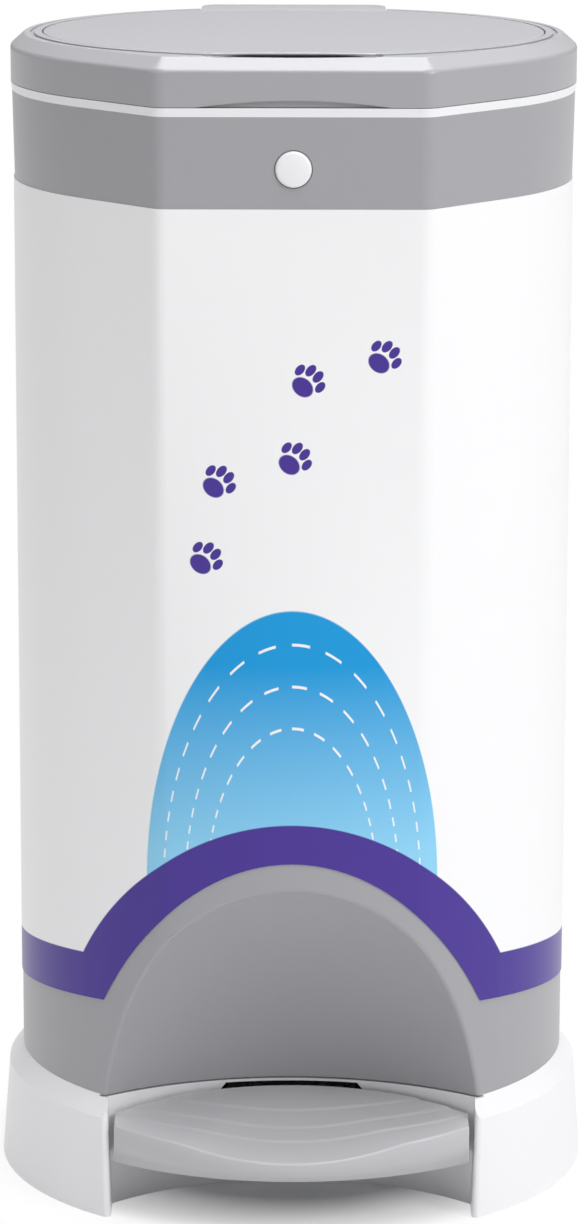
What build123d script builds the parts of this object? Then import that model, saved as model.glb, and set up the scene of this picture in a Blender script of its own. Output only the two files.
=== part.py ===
"""Step-on litter disposal pail: base, pedal linkage, body, liner frame, lid, flap and inner door.

Frame: millimetres, +Z up, the front (pedal side) faces -Y, the origin is on the floor
on the axis of the round body.
"""
from build123d import *
from math import cos, hypot, pi, radians, sin, sqrt, tan
import os

os.makedirs("parts", exist_ok=True)

# ---------------------------------------------------------------- driving sizes
# general
running_gap = 0.3          # between pieces of different bodies
pin_clearance = 0.05       # radial, hinge pin in a turning bore
screw_clearance = 0.2      # radial, screw in a hole

# body
body_radius = 133.0
body_length = 470.7
body_wall = 3.0
side_facet_angle = 42.3    # of the side facet's normal, from the X axis
front_facet_depth = 3.2    # of the flat front facet inside the round body
facet_corner_round = 8.0
arc_bulge = 0.03           # keeps the neighbouring arcs of the foot's circle apart
label_drop = 41.8          # from the body's top to the printed wrap
rim_flare = 0.9

# base
base_overhang = 10.5       # of the foot outside the body
base_height = 56.3
base_draft = 3.7           # how much narrower the skirt is at its shoulder
base_shoulder_drop = 8.8   # of the shoulder below the base's top
base_shoulder_round = 8.0
base_bottom_round = 4.5
base_foot_width = 6.5      # skirt thickness at the floor
deck_thickness = 3.0
plate_thickness = 4.0

# pedal bay in the base, and the wall behind the pedal
bay_half_width = 87.5
bay_side_draft = 1.5       # how much narrower the bay is at the floor
bay_lean = 11.7            # of the bay's back towards the axis at the floor, in the middle
bay_side_lean = 4.6        # the same at the bay's sides
bay_wall = 3.0
bay_corner_round = 2.2
slot_half_width = 35.0
slot_top_drop = 2.3        # below the base's top
slot_height = 27.0

# foot alcove, turned about its own upright axis in front of the body
alcove_axis_offset = 82.5      # of that axis from the body's side
alcove_floor_radius = 146.8
alcove_middle_inset = 24.3     # how much narrower the hollow is at its middle height
alcove_middle_height = 65.6    # above the base's top
alcove_top_inset = 64.3
alcove_top_height = 111.4
alcove_edge_round = 2.0

# printed wrap
label_thickness = 0.5
label_skirt_height = 36.2      # of its lower edge above the base's top, at the sides
label_skirt_slope = 0.115
label_arch_centre = 2.3        # height of the middle of the arch's ellipse
label_arch_margin = 20.1       # of the arch beside the alcove's mouth
label_arch_rise = 12.1         # of the arch above the alcove's top

# liner frame
rim_thickness = 4.0
rim_overhang = 1.5
neck_inset = 33.0              # of the neck's inner face inside the body
neck_wall = 3.0
neck_length = 51.0
rear_notch_half_width = 16.0
clip_height = 10.0
clip_thickness = 3.0

# lid
lid_side_height = 16.4
lid_chamfer_height = 5.8
lid_chamfer_width = 6.6
lid_wall = 3.0
lid_crease_round = 2.5
lid_edge_round = 1.2
flap_inset = 14.0              # of the flap's edge inside the body
flap_gap = 0.6
flap_recess_depth = 4.5
bead_width = 4.6
bead_height = 0.3
bead_groove = 1.0
lid_mouth_inset = 17.0         # of the mouth inside the flap's edge
finger_chord_inset = 6.1       # of the flap's straight front edge
finger_dip_half_width = 41.0   # dip in the lid's bead in front of that edge
finger_dip_width = 12.0
finger_dip_depth = 0.9
crescent_half_width = 44.0     # thumb scoop in the lid's lower edge
crescent_height = 3.2
crescent_depth = 1.6
tongue_half_width = 46.0
flap_edge_thickness = 3.8
flap_crown = 2.0
tongue_reach = 6.6             # of the tongue behind the flap's axis
tongue_thickness = 3.6
tongue_rise = 3.3              # of the tongue's underside above the flap's axis
flap_axis_offset = 7.0         # behind the flap's edge
flap_axis_drop = 6.0           # below the lid's top
flap_barrel_radius = 3.0
flap_barrel_half_length = 35.5
flap_ear_thickness = 5.0
flap_pin_radius = 1.2
flap_liner_depth = 8.0
seal_height = 0.7
seal_width = 2.4

# hinge of the lid
lid_axis_offset = 7.0          # behind the body
lid_axis_rise = 1.7            # above the lid's lower edge
lid_knuckle_radius = 5.0
lid_knuckle_half_length = 30.0
lid_ear_thickness = 6.0
lid_pin_radius = 2.0

# funnel and inner door
chute_depth = 38.0
throat_inset = 22.0            # of the throat inside the lid's mouth
throat_shift = 6.0
chute_wall = 2.5
trap_overlap = 4.0             # of the inner door round the throat
trap_thickness = 3.0
trap_axis_offset = 8.0         # of its axis behind the throat's radius
trap_axis_drop = 3.5           # below the throat's edge
trap_barrel_radius = 4.5
trap_barrel_half_length = 24.0
trap_pin_radius = 1.5
crank_gap = 0.45               # between a crank's cross pin and the pad below it
crank_arm_thickness = 3.0
cross_pin_radius = 3.0

# pedal linkage
pedal_axis_distance = 5.0      # in front of the body's axis
pedal_axis_height = 24.0
pedal_travel = 9.0             # degrees
flap_travel = 74.0             # degrees
axle_radius = 3.0
lever_thickness = 5.0
lever_half_width = 12.0
neck_half_width = 31.0
rod_inset = 14.5               # of the rod's middle inside the body's back
rod_depth = 5.0
rod_half_width = 6.0

# pedal
pedal_setback = 5.0            # of its front behind the base's front
pedal_side_gap = 1.5
pedal_rear_gap = 1.5
pedal_depth = 25.8             # from its rear edge down to its lower edge
tread_rear_drop = 3.7          # of its rear edge below the base's top
tread_slope = 8.5              # degrees, down to the front
dish_radius = 350.0
dish_front_rise = 10.4         # of the dish's front above the pedal's lower edge
dish_slope = 14.0              # degrees
pedal_wall = 2.6
step_depth = 0.6
step_radius = 175.0
step_setbacks = (43.5, 29.5, 18.5)     # of the curved steps behind the pedal's front

# button and latch
button_radius = 8.3
button_drop = 23.6             # below the body's top
button_proud = 2.0
button_edge_round = 1.2
button_travel = 3.0
latch_half_width = 8.0
latch_riser_thickness = 3.0
tab_half_width = 10.0
tab_thickness = 3.0
tab_inset = 8.3                # of the tab's front behind the front facet
tab_length = 23.5              # below the top of the liner frame

# carry handle
handle_drop = 24.0             # of its middle below the body's top
handle_half_length = 60.0
handle_reach = 30.0            # finger room behind the body
handle_thickness = 8.0
handle_half_height = 9.0

# ---------------------------------------------------------------- derived places
base_radius = body_radius + base_overhang
base_shoulder_radius = base_radius - base_draft
base_shoulder_height = base_height - base_shoulder_drop
front_facet_distance = body_radius - front_facet_depth
alcove_axis_distance = body_radius + alcove_axis_offset
alcove_middle_radius = alcove_floor_radius - alcove_middle_inset
alcove_top_radius = alcove_floor_radius - alcove_top_inset
neck_radius = body_radius - neck_inset
flap_radius = body_radius - flap_inset
lid_mouth_radius = flap_radius - lid_mouth_inset
finger_chord_distance = flap_radius - finger_chord_inset
flap_axis_distance = flap_radius + flap_axis_offset
lid_axis_distance = body_radius + lid_axis_offset
throat_radius = lid_mouth_radius - throat_inset
trap_radius = throat_radius + trap_overlap
trap_axis_distance = throat_radius + trap_axis_offset
rod_distance = body_radius - rod_inset
tab_distance = front_facet_distance - tab_inset
bay_floor_half_width = bay_half_width - bay_side_draft
pedal_half_width = bay_floor_half_width - pedal_side_gap
pedal_front_radius = base_radius - pedal_setback
tread_rear_height = base_height - tread_rear_drop
pedal_bottom_height = tread_rear_height - pedal_depth
dish_front_height = pedal_bottom_height + dish_front_rise
body_top = base_height + body_length
label_top = body_top - label_drop
rim_top = body_top + rim_thickness
lid_bottom = rim_top + running_gap
lid_crease = lid_bottom + lid_side_height
lid_top = lid_crease + lid_chamfer_height
flap_seat = lid_top - flap_recess_depth
flap_axis_height = lid_top - flap_axis_drop
throat_height = flap_seat - body_wall - chute_depth
trap_axis_height = throat_height - trap_axis_drop
lid_axis_height = lid_bottom + lid_axis_rise
lift = (rod_distance + pedal_axis_distance) * tan(radians(pedal_travel))
crank_radius = lift / (2 * sin(radians(flap_travel / 2)))
crank_reach = crank_radius * cos(radians(flap_travel / 2))
crank_drop = lift / 2
deck_bottom = base_height - deck_thickness

print(f"lift of the rod {lift:.3f} mm, crank radius {crank_radius:.3f} mm")
print(f"rod per radian of the pedal {lift / radians(pedal_travel):.4f} mm")
print(f"flap per unit of the pedal {flap_travel / pedal_travel:.5f}")


# ---------------------------------------------------------------- plans
def facet_corner(growth: float) -> tuple:
    """Corner between the front facet and the right side facet, both moved out by growth."""
    angle = radians(side_facet_angle)
    front = front_facet_distance + growth
    return ((body_radius + growth - sin(angle) * front) / cos(angle), -front)


def facet_points(growth: float) -> list:
    """Right-hand ends of the back arc, side facet, corner arc and front facet."""
    angle = radians(side_facet_angle)
    radius = body_radius + growth
    tangent = (radius * cos(angle), -radius * sin(angle))
    corner = facet_corner(growth)
    rounding = facet_corner_round + growth
    reach = rounding * tan((pi / 2 - angle) / 2)
    along = (tangent[0] - corner[0], tangent[1] - corner[1])
    length = hypot(*along)
    side_end = (corner[0] + along[0] / length * reach, corner[1] + along[1] / length * reach)
    front_end = (corner[0] - reach, corner[1])
    centre = (front_end[0], front_end[1] + rounding)
    middle_angle = (pi / 2 + angle) / 2
    middle = (centre[0] + rounding * cos(middle_angle), centre[1] - rounding * sin(middle_angle))
    return [tangent, side_end, middle, front_end]


def faceted_face(growth: float, height: float) -> Face:
    """The rim's plan at one height: round at the back, three flat facets at the front."""
    tangent, side_end, middle, front_end = facet_points(growth)
    with BuildLine(Plane.XY.offset(height)) as outline:
        ThreePointArc((-tangent[0], tangent[1]), (0, body_radius + growth), tangent)
        Line(tangent, side_end)
        ThreePointArc(side_end, middle, front_end)
        Line(front_end, (-front_end[0], front_end[1]))
        ThreePointArc((-front_end[0], front_end[1]), (-middle[0], middle[1]),
                      (-side_end[0], side_end[1]))
        Line((-side_end[0], side_end[1]), (-tangent[0], tangent[1]))
    return Face(outline.wire())


def round_face(growth: float, height: float) -> Face:
    """The body's foot: a circle at one height, in arcs that end where the rim's facets end."""
    tangent, side_end, middle, front_end = facet_points(growth)
    radius = body_radius + growth

    def drop(x: float, bulge: float) -> tuple:
        return (x, -sqrt(radius ** 2 - x ** 2) - bulge)

    side, near, front = drop(side_end[0], 0), drop(middle[0], 0), drop(front_end[0], 0)
    facet_middle = drop((tangent[0] + side_end[0]) / 2, arc_bulge)
    with BuildLine(Plane.XY.offset(height)) as outline:
        ThreePointArc((-tangent[0], tangent[1]), (0, radius), tangent)
        ThreePointArc(tangent, facet_middle, side)
        ThreePointArc(side, near, front)
        ThreePointArc(front, drop(0, arc_bulge), (-front[0], front[1]))
        ThreePointArc((-front[0], front[1]), (-near[0], near[1]), (-side[0], side[1]))
        ThreePointArc((-side[0], side[1]), (-facet_middle[0], facet_middle[1]),
                      (-tangent[0], tangent[1]))
    return Face(outline.wire())


def faceted_plan(growth: float) -> Sketch:
    """Plan of the rim as a sketch."""
    with BuildSketch() as plan:
        add(faceted_face(growth, 0))
    return plan.sketch


def bay_plan(half_width: float, side: float, back: float) -> Sketch:
    """Plan of the pedal bay: open to the front, with a hollow arc at the back."""
    far_front = -base_radius - bay_wall
    with BuildSketch() as plan:
        with BuildLine():
            ThreePointArc((-half_width, -side), (0, -back), (half_width, -side))
            Line((half_width, -side), (half_width, far_front))
            Line((half_width, far_front), (-half_width, far_front))
            Line((-half_width, far_front), (-half_width, -side))
        make_face()
    return plan.sketch


def bay_back(radius_change: float, half_width: float) -> float:
    """How far in front of the axis the bay's upper arc lies at this half width."""
    radius = alcove_floor_radius + radius_change
    return alcove_axis_distance - sqrt(radius ** 2 - half_width ** 2)


def tapered_body(growth: float, low: float, high: float) -> Part:
    """The body's form between two heights, moved out by growth: round foot, faceted rim."""
    with BuildPart() as form:
        loft(sections=[round_face(growth, base_height), faceted_face(growth, label_top),
                       faceted_face(growth + rim_flare, body_top)], ruled=True)
        if low > base_height:
            split(bisect_by=Plane.XY.offset(low), keep=Keep.TOP)
        if high < body_top:
            split(bisect_by=Plane.XY.offset(high), keep=Keep.BOTTOM)
    return form.part


def alcove_form(growth: float) -> Part:
    """The hollow for the foot as a turned solid, moved out by growth."""
    side_out, side_up = 0.86, 0.51      # the surface's own direction outwards at these places
    top_out, top_up = 0.62, 0.78
    axis_y = -alcove_axis_distance
    foot_radius = alcove_floor_radius + growth
    side = (alcove_middle_radius + side_out * growth,
            base_height + alcove_middle_height + side_up * growth)
    top = (alcove_top_radius + top_out * growth,
           base_height + alcove_top_height + top_up * growth)
    low = base_height - 1
    high = top[1] + alcove_top_height
    with BuildPart() as form:
        with BuildSketch(Plane.YZ):
            with BuildLine():
                ThreePointArc((axis_y + foot_radius, base_height), (axis_y + side[0], side[1]),
                              (axis_y + top[0], top[1]))
                Polyline((axis_y + top[0], top[1]), (axis_y, high), (axis_y, low),
                         (axis_y + foot_radius, low), (axis_y + foot_radius, base_height))
            make_face()
        revolve(axis=Axis((0, axis_y, 0), (0, 0, 1)))
    return form.part


def side_prism(points: list, low: float, high: float) -> Part:
    """A profile drawn in the Y-Z plane, pulled along X between low and high."""
    with BuildPart() as prism:
        with BuildSketch(Plane.YZ.offset(low)):
            with BuildLine():
                Polyline(*points, close=True)
            make_face()
        extrude(amount=high - low)
    return prism.part


def side_pair(points: list, low: float, high: float) -> Part:
    """The same prism on the right and on the left."""
    with BuildPart() as pair:
        add(side_prism(points, low, high))
        add(side_prism(points, -high, -low))
    return pair.part


def cross_bar(y: float, z: float, radius: float, half_length: float) -> Part:
    """A round bar across the pail, centred on X."""
    with BuildPart() as bar:
        with BuildSketch(Plane.YZ.offset(-half_length)):
            with Locations((y, z)):
                Circle(radius)
        extrude(amount=2 * half_length)
    return bar.part


def block(x: tuple, y: tuple, z: tuple) -> Part:
    """A plain box between the given limits."""
    with BuildPart() as box:
        with BuildSketch(Plane.XY.offset(z[0])):
            with Locations(((x[0] + x[1]) / 2, (y[0] + y[1]) / 2)):
                Rectangle(x[1] - x[0], y[1] - y[0])
        extrude(amount=z[1] - z[0])
    return box.part


def ring(outer: float, inner: float, z: tuple, shift: float = 0.0) -> Part:
    """A plain upright ring between two heights, its centre shift mm in front of the axis."""
    with BuildPart() as band:
        with BuildSketch(Plane.XY.offset(z[0])):
            with Locations((0, -shift)):
                Circle(outer)
                Circle(inner, mode=Mode.SUBTRACT)
        extrude(amount=z[1] - z[0])
    return band.part


# ---------------------------------------------------------------- base
skirt_inner = base_radius - base_foot_width
skirt_draft = 0.8
shoulder_wall = 2.5
rod_hole_gap = 1.5
rod_hole_half_width = rod_half_width + rod_hole_gap
rod_hole_depth = rod_depth + 2 * rod_hole_gap
screw_inset = 20.5           # of the screws' circle inside the skirt
screw_circle = skirt_inner - screw_inset
screw_angles = (32.3, 147.7, 197.8, 342.2)
screw_spots = [(screw_circle * cos(radians(turn)), screw_circle * sin(radians(turn)))
               for turn in screw_angles]
screw_radius = 2.0
screw_length = 16.0
boss_radius = 5.5
ring_height = 6.0            # rib on the deck that locates the body
ring_wall = 2.5
ring_outer = body_radius - body_wall - running_gap
bay_reach = 1.0              # the bay's cutting form goes this far past the base
bay_back_depth = bay_back(0, 0)
bay_side_depth = bay_back(0, bay_half_width)
bay_floor_depth = bay_back_depth - bay_lean
bay_floor_side_depth = bay_side_depth - bay_side_lean

with BuildPart() as base_hollow:
    with BuildSketch(Plane.YZ):
        with BuildLine():
            Polyline((0, 0), (skirt_inner, 0),
                     (skirt_inner - skirt_draft, base_shoulder_height - shoulder_wall),
                     (body_radius - shoulder_wall, deck_bottom), (0, deck_bottom), close=True)
        make_face()
    revolve(axis=Axis.Z)
    with BuildSketch(Plane.XY.offset(-bay_reach)):
        add(bay_plan(bay_floor_half_width + bay_wall, bay_floor_side_depth - bay_wall,
                     bay_floor_depth - bay_wall))
    with BuildSketch(Plane.XY.offset(base_height)):
        add(bay_plan(bay_half_width + bay_wall, bay_back(bay_wall, bay_half_width + bay_wall),
                     bay_back(bay_wall, 0)))
    loft(mode=Mode.SUBTRACT)
    with BuildSketch(Plane.XY.offset(plate_thickness)):
        with Locations(*screw_spots):
            Circle(boss_radius)
    extrude(amount=base_height - plate_thickness, mode=Mode.SUBTRACT)

with BuildPart() as base:
    with BuildSketch(Plane.YZ):
        with BuildLine():
            Polyline((0, 0), (base_radius, 0), (base_shoulder_radius, base_shoulder_height),
                     (body_radius, base_height), (0, base_height), close=True)
        make_face()
        fillet(vertices().filter_by(lambda v: abs(v.Y - base_radius) < pin_clearance), base_bottom_round)
        fillet(vertices().filter_by(lambda v: abs(v.Y - base_shoulder_radius) < pin_clearance),
               base_shoulder_round)
    revolve(axis=Axis.Z)
    add(base_hollow.part, mode=Mode.SUBTRACT)
    add(ring(ring_outer, ring_outer - ring_wall, (base_height, base_height + ring_height)))
    add(alcove_form(body_wall + running_gap), mode=Mode.SUBTRACT)
    with BuildSketch(Plane.XY.offset(-bay_reach)):
        add(bay_plan(bay_floor_half_width, bay_floor_side_depth, bay_floor_depth))
    with BuildSketch(Plane.XY.offset(base_height)):
        add(bay_plan(bay_half_width, bay_side_depth, bay_back_depth))
    loft(mode=Mode.SUBTRACT)
    add(block((-slot_half_width, slot_half_width),
              (-bay_back_depth - bay_wall, -bay_floor_depth / 2),
              (base_height - slot_top_drop - slot_height, base_height - slot_top_drop)),
        mode=Mode.SUBTRACT)
    add(block((-rod_hole_half_width, rod_hole_half_width),
              (rod_distance - rod_hole_depth / 2, rod_distance + rod_hole_depth / 2),
              (deck_bottom - deck_thickness, base_height + deck_thickness)), mode=Mode.SUBTRACT)
    with BuildSketch(Plane.XY.offset(plate_thickness)):
        with Locations(*screw_spots):
            Circle(screw_radius + screw_clearance)
    extrude(amount=screw_length, mode=Mode.SUBTRACT)
    post_edges = edges().filter_by(
        lambda e: bay_floor_half_width - 1 < abs(e.center().X) < bay_half_width + 1
        and e.center().Y < -bay_side_depth - bay_wall and abs(e.tangent_at(0.5).Z) > 0.9)
    fillet(post_edges, bay_corner_round)
base.part.label = "base"
export_step(base.part, "parts/base.step")

# ---------------------------------------------------------------- body
ear_inner = lid_knuckle_half_length + 0.5
ear_outer = ear_inner + lid_ear_thickness
ear_root_depth = 5.5         # of the ears' roots in the body's wall
ear_root = body_radius - ear_root_depth     # inside the body's wall
ear_foot = 22.0              # below the body's top
ear_back = lid_axis_distance + lid_knuckle_radius
pin_play = 0.02              # radial, pin in the holes that hold it
button_hole_gap = 0.4
handle_screw_spots = [(-handle_half_length, body_top - handle_drop),
                      (handle_half_length, body_top - handle_drop)]
handle_screw_radius = 1.8
handle_boss_radius = 6.0
handle_boss_depth = 25.0     # of the screw bosses inside the body
handle_boss_front = body_radius - handle_boss_depth
button_height = body_top - button_drop

with BuildPart() as body_hollow:
    add(tapered_body(-body_wall, base_height, body_top))
    add(alcove_form(body_wall), mode=Mode.SUBTRACT)

with BuildPart() as body_shell:
    add(tapered_body(0, base_height, body_top))
    add(alcove_form(0), mode=Mode.SUBTRACT)
    # the mouth of the alcove is rounded before the body is made hollow
    fillet(edges().filter_by(lambda e: e.center().Z > base_height + alcove_edge_round
                             and e.bounding_box().max.Z < base_height + alcove_top_height),
           alcove_edge_round)
    add(body_hollow.part, mode=Mode.SUBTRACT)
    add(side_pair([(ear_root, body_top - ear_foot), (ear_back, body_top - ear_foot / 3),
                   (ear_back, lid_axis_height), (lid_axis_distance - lid_knuckle_radius,
                                                 lid_axis_height),
                   (lid_axis_distance - lid_knuckle_radius, body_top), (ear_root, body_top)],
                  ear_inner, ear_outer))
    for side in (1, -1):
        with BuildSketch(Plane.YZ.offset(side * ear_inner)):
            with Locations((lid_axis_distance, lid_axis_height)):
                Circle(lid_knuckle_radius)
        extrude(amount=side * lid_ear_thickness)
    add(cross_bar(lid_axis_distance, lid_axis_height, lid_pin_radius + pin_play, ear_outer + 1),
        mode=Mode.SUBTRACT)
    with BuildSketch(Plane.XZ.offset(front_facet_distance - body_wall - 2)):
        with Locations((0, button_height)):
            Circle(button_radius + button_hole_gap)
    extrude(amount=2 * body_wall + 2, mode=Mode.SUBTRACT)
    with BuildSketch(Plane.XZ.offset(-handle_boss_front)):
        with Locations(*handle_screw_spots):
            Circle(handle_boss_radius)
    extrude(until=Until.NEXT, dir=(0, 1, 0))
    with BuildSketch(Plane.XZ.offset(-handle_boss_front)):
        with Locations(*handle_screw_spots):
            Circle(handle_screw_radius)
    extrude(amount=-2 * handle_boss_radius - 2 * body_wall, mode=Mode.SUBTRACT)
body_shell.part.label = "body_shell"
export_step(body_shell.part, "parts/body_shell.step")

# ---------------------------------------------------------------- printed wrap
wrap_reach = body_radius + base_overhang
mouth_depth = (alcove_axis_distance ** 2 + body_radius ** 2
               - alcove_floor_radius ** 2) / (2 * alcove_axis_distance)
mouth_half_width = sqrt(body_radius ** 2 - mouth_depth ** 2)
arch_half_width = mouth_half_width + label_arch_margin
arch_height = base_height + alcove_top_height + label_arch_rise - label_arch_centre
skirt_low = base_height + label_skirt_height
skirt_front = skirt_low + label_skirt_slope * wrap_reach

with BuildPart() as wrap_label:
    add(tapered_body(label_thickness, base_height, label_top))
    add(tapered_body(0, base_height, label_top), mode=Mode.SUBTRACT)
    add(side_prism([(wrap_reach, 0), (wrap_reach, skirt_low), (0, skirt_low),
                    (-wrap_reach, skirt_front), (-wrap_reach, 0)], -wrap_reach, wrap_reach),
        mode=Mode.SUBTRACT)
    with BuildSketch(Plane.XZ):
        with Locations((0, label_arch_centre)):
            Ellipse(arch_half_width, arch_height)
    extrude(amount=wrap_reach, mode=Mode.SUBTRACT)
wrap_label.part.label = "wrap_label"
export_step(wrap_label.part, "parts/wrap_label.step")

# ---------------------------------------------------------------- liner frame
neck_outer = neck_radius + neck_wall
notch_reach = 5.0            # of the rear notch inside the neck
notch_front = neck_radius - notch_reach
notch_back = rod_distance + rod_depth
tab_slot_play = 1.1
tab_back = tab_distance - tab_thickness
seal_inset = 3.5
seal_loop_width = 3.0
seal_loop_height = 2.0

with BuildPart() as rim_frame:
    with BuildSketch(Plane.XY.offset(body_top)):
        add(faceted_plan(rim_flare))
    with BuildSketch(Plane.XY.offset(rim_top)):
        add(faceted_plan(rim_overhang))
    loft(ruled=True)
    with BuildSketch(Plane.XY.offset(rim_top - neck_length)):
        Circle(neck_outer)
    extrude(amount=neck_length - rim_thickness / 2)
    with BuildSketch(Plane.XY.offset(rim_top - neck_length)):
        Circle(neck_radius)
    extrude(amount=neck_length, mode=Mode.SUBTRACT)
    add(block((-rear_notch_half_width, rear_notch_half_width), (notch_front, notch_back),
              (rim_top - neck_length, rim_top)), mode=Mode.SUBTRACT)
    add(block((-tab_half_width - 2 * tab_slot_play, tab_half_width + 2 * tab_slot_play),
              (-tab_distance - tab_slot_play, -tab_back + tab_slot_play),
              (body_top, rim_top)), mode=Mode.SUBTRACT)
rim_frame.part.label = "rim_frame"
export_step(rim_frame.part, "parts/rim_frame.step")

with BuildPart() as lid_seal:
    with BuildSketch(Plane.XY.offset(rim_top)):
        add(faceted_plan(-seal_inset))
        add(faceted_plan(-seal_inset - seal_loop_width), mode=Mode.SUBTRACT)
    extrude(amount=seal_loop_height)
lid_seal.part.label = "lid_seal"
export_step(lid_seal.part, "parts/lid_seal.step")

clip_play = 0.2
clip_rise = 1.0              # above the neck's lower edge
clip_low = rim_top - neck_length + clip_rise
with BuildPart() as liner_ring:
    add(ring(neck_outer + clip_play + clip_thickness, neck_outer + clip_play,
             (clip_low, clip_low + clip_height)))
    add(block((-rear_notch_half_width - 1, rear_notch_half_width + 1), (0, wrap_reach),
              (clip_low, clip_low + clip_height)), mode=Mode.SUBTRACT)
liner_ring.part.label = "liner_ring"
export_step(liner_ring.part, "parts/liner_ring.step")

# ---------------------------------------------------------------- lid
recess_radius = flap_radius + flap_gap
bead_outer = recess_radius + bead_width - bead_groove
groove_outer = recess_radius + bead_width + bead_groove
ledge_bottom = flap_seat - lid_wall
lid_slope_out = rim_overhang - lid_chamfer_width
hollow_ring_inner = recess_radius + lid_wall
hollow_ring_reach = 1.3      # of the hollow under the bead outside its groove
hollow_ring_outer = groove_outer + hollow_ring_reach
bead_cover = 2.3             # plastic left under the bead's groove
hollow_ring_top = lid_top - bead_groove - bead_cover
rib_inset = 4.2
rib_width = 1.6
notch_half_width = tongue_half_width + flap_gap
notch_floor_drop = 7.0       # below the flap's axis
lid_notch_floor = flap_axis_height - notch_floor_drop
notch_wall = 3.0
notch_start_reach = 5.5      # in front of the flap's axis
notch_start = flap_axis_distance - notch_start_reach
crank_slot_half_width = 13.5
crank_slot_play = 1.15       # in front of the crank's cross pin
crank_slot_front = flap_axis_distance - crank_radius - cross_pin_radius - crank_slot_play
crank_slot_setback = 2.0     # in front of the flap's axis
crank_slot_back = flap_axis_distance - crank_slot_setback
flap_ear_inner = flap_barrel_half_length + running_gap
flap_ear_outer = flap_ear_inner + flap_ear_thickness
flap_ear_half_depth = 2.8
pocket_half_width = 36.0
pocket_depth = 6.0
pocket_front_inset = 0.7     # inside the flap's recess
pocket_front = recess_radius - pocket_front_inset
pocket_under_flap = 3.9      # of the pocket under the flap's straight edge
pocket_back = finger_chord_distance - pocket_under_flap
pocket_wall = 2.5
window_drop = 15.0             # of the tab's window below the top of the liner frame
window_height = 6.0
window_high = rim_top - window_drop
window_low = window_high - window_height
web_root = 2.0               # of the hinge web inside the body's side
web_front = body_radius - web_root
web_rise = 7.0
crescent_radius = (crescent_half_width ** 2 + crescent_height ** 2) / (2 * crescent_height)
flange_bolt_offset = 5.9     # of the funnel's screws outside the mouth
flange_bolt_radius = lid_mouth_radius + flange_bolt_offset
flange_screw_angles = (40.0, 140.0, 220.0, 320.0)
flange_screw_spots = [(flange_bolt_radius * cos(radians(turn)),
                       flange_bolt_radius * sin(radians(turn)))
                      for turn in flange_screw_angles]
flange_screw_radius = 1.0
flange_screw_grip = 2.0

with BuildPart() as lid_hollow:
    with BuildSketch(Plane.XY.offset(lid_bottom)):
        add(faceted_plan(rim_overhang - lid_wall))
    extrude(amount=ledge_bottom - lid_bottom)
    add(ring(hollow_ring_outer, hollow_ring_inner, (ledge_bottom, hollow_ring_top)))
    with BuildSketch(Plane.XY.offset(lid_bottom + seal_loop_height)):
        add(faceted_plan(-rib_inset))
        add(faceted_plan(-rib_inset - rib_width), mode=Mode.SUBTRACT)
    extrude(amount=ledge_bottom - lid_bottom, mode=Mode.SUBTRACT)
    add(block((-notch_half_width - notch_wall, notch_half_width + notch_wall),
              (notch_start - notch_wall, wrap_reach),
              (lid_notch_floor - notch_wall, lid_top)), mode=Mode.SUBTRACT)
    add(block((-pocket_half_width - pocket_wall, pocket_half_width + pocket_wall),
              (-pocket_front - pocket_wall, -pocket_back + pocket_wall),
              (flap_seat - pocket_depth - pocket_wall, lid_top)), mode=Mode.SUBTRACT)
    add(block((-tab_half_width, tab_half_width), (-tab_distance, -tab_back),
              (lid_bottom, lid_top)), mode=Mode.SUBTRACT)

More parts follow.
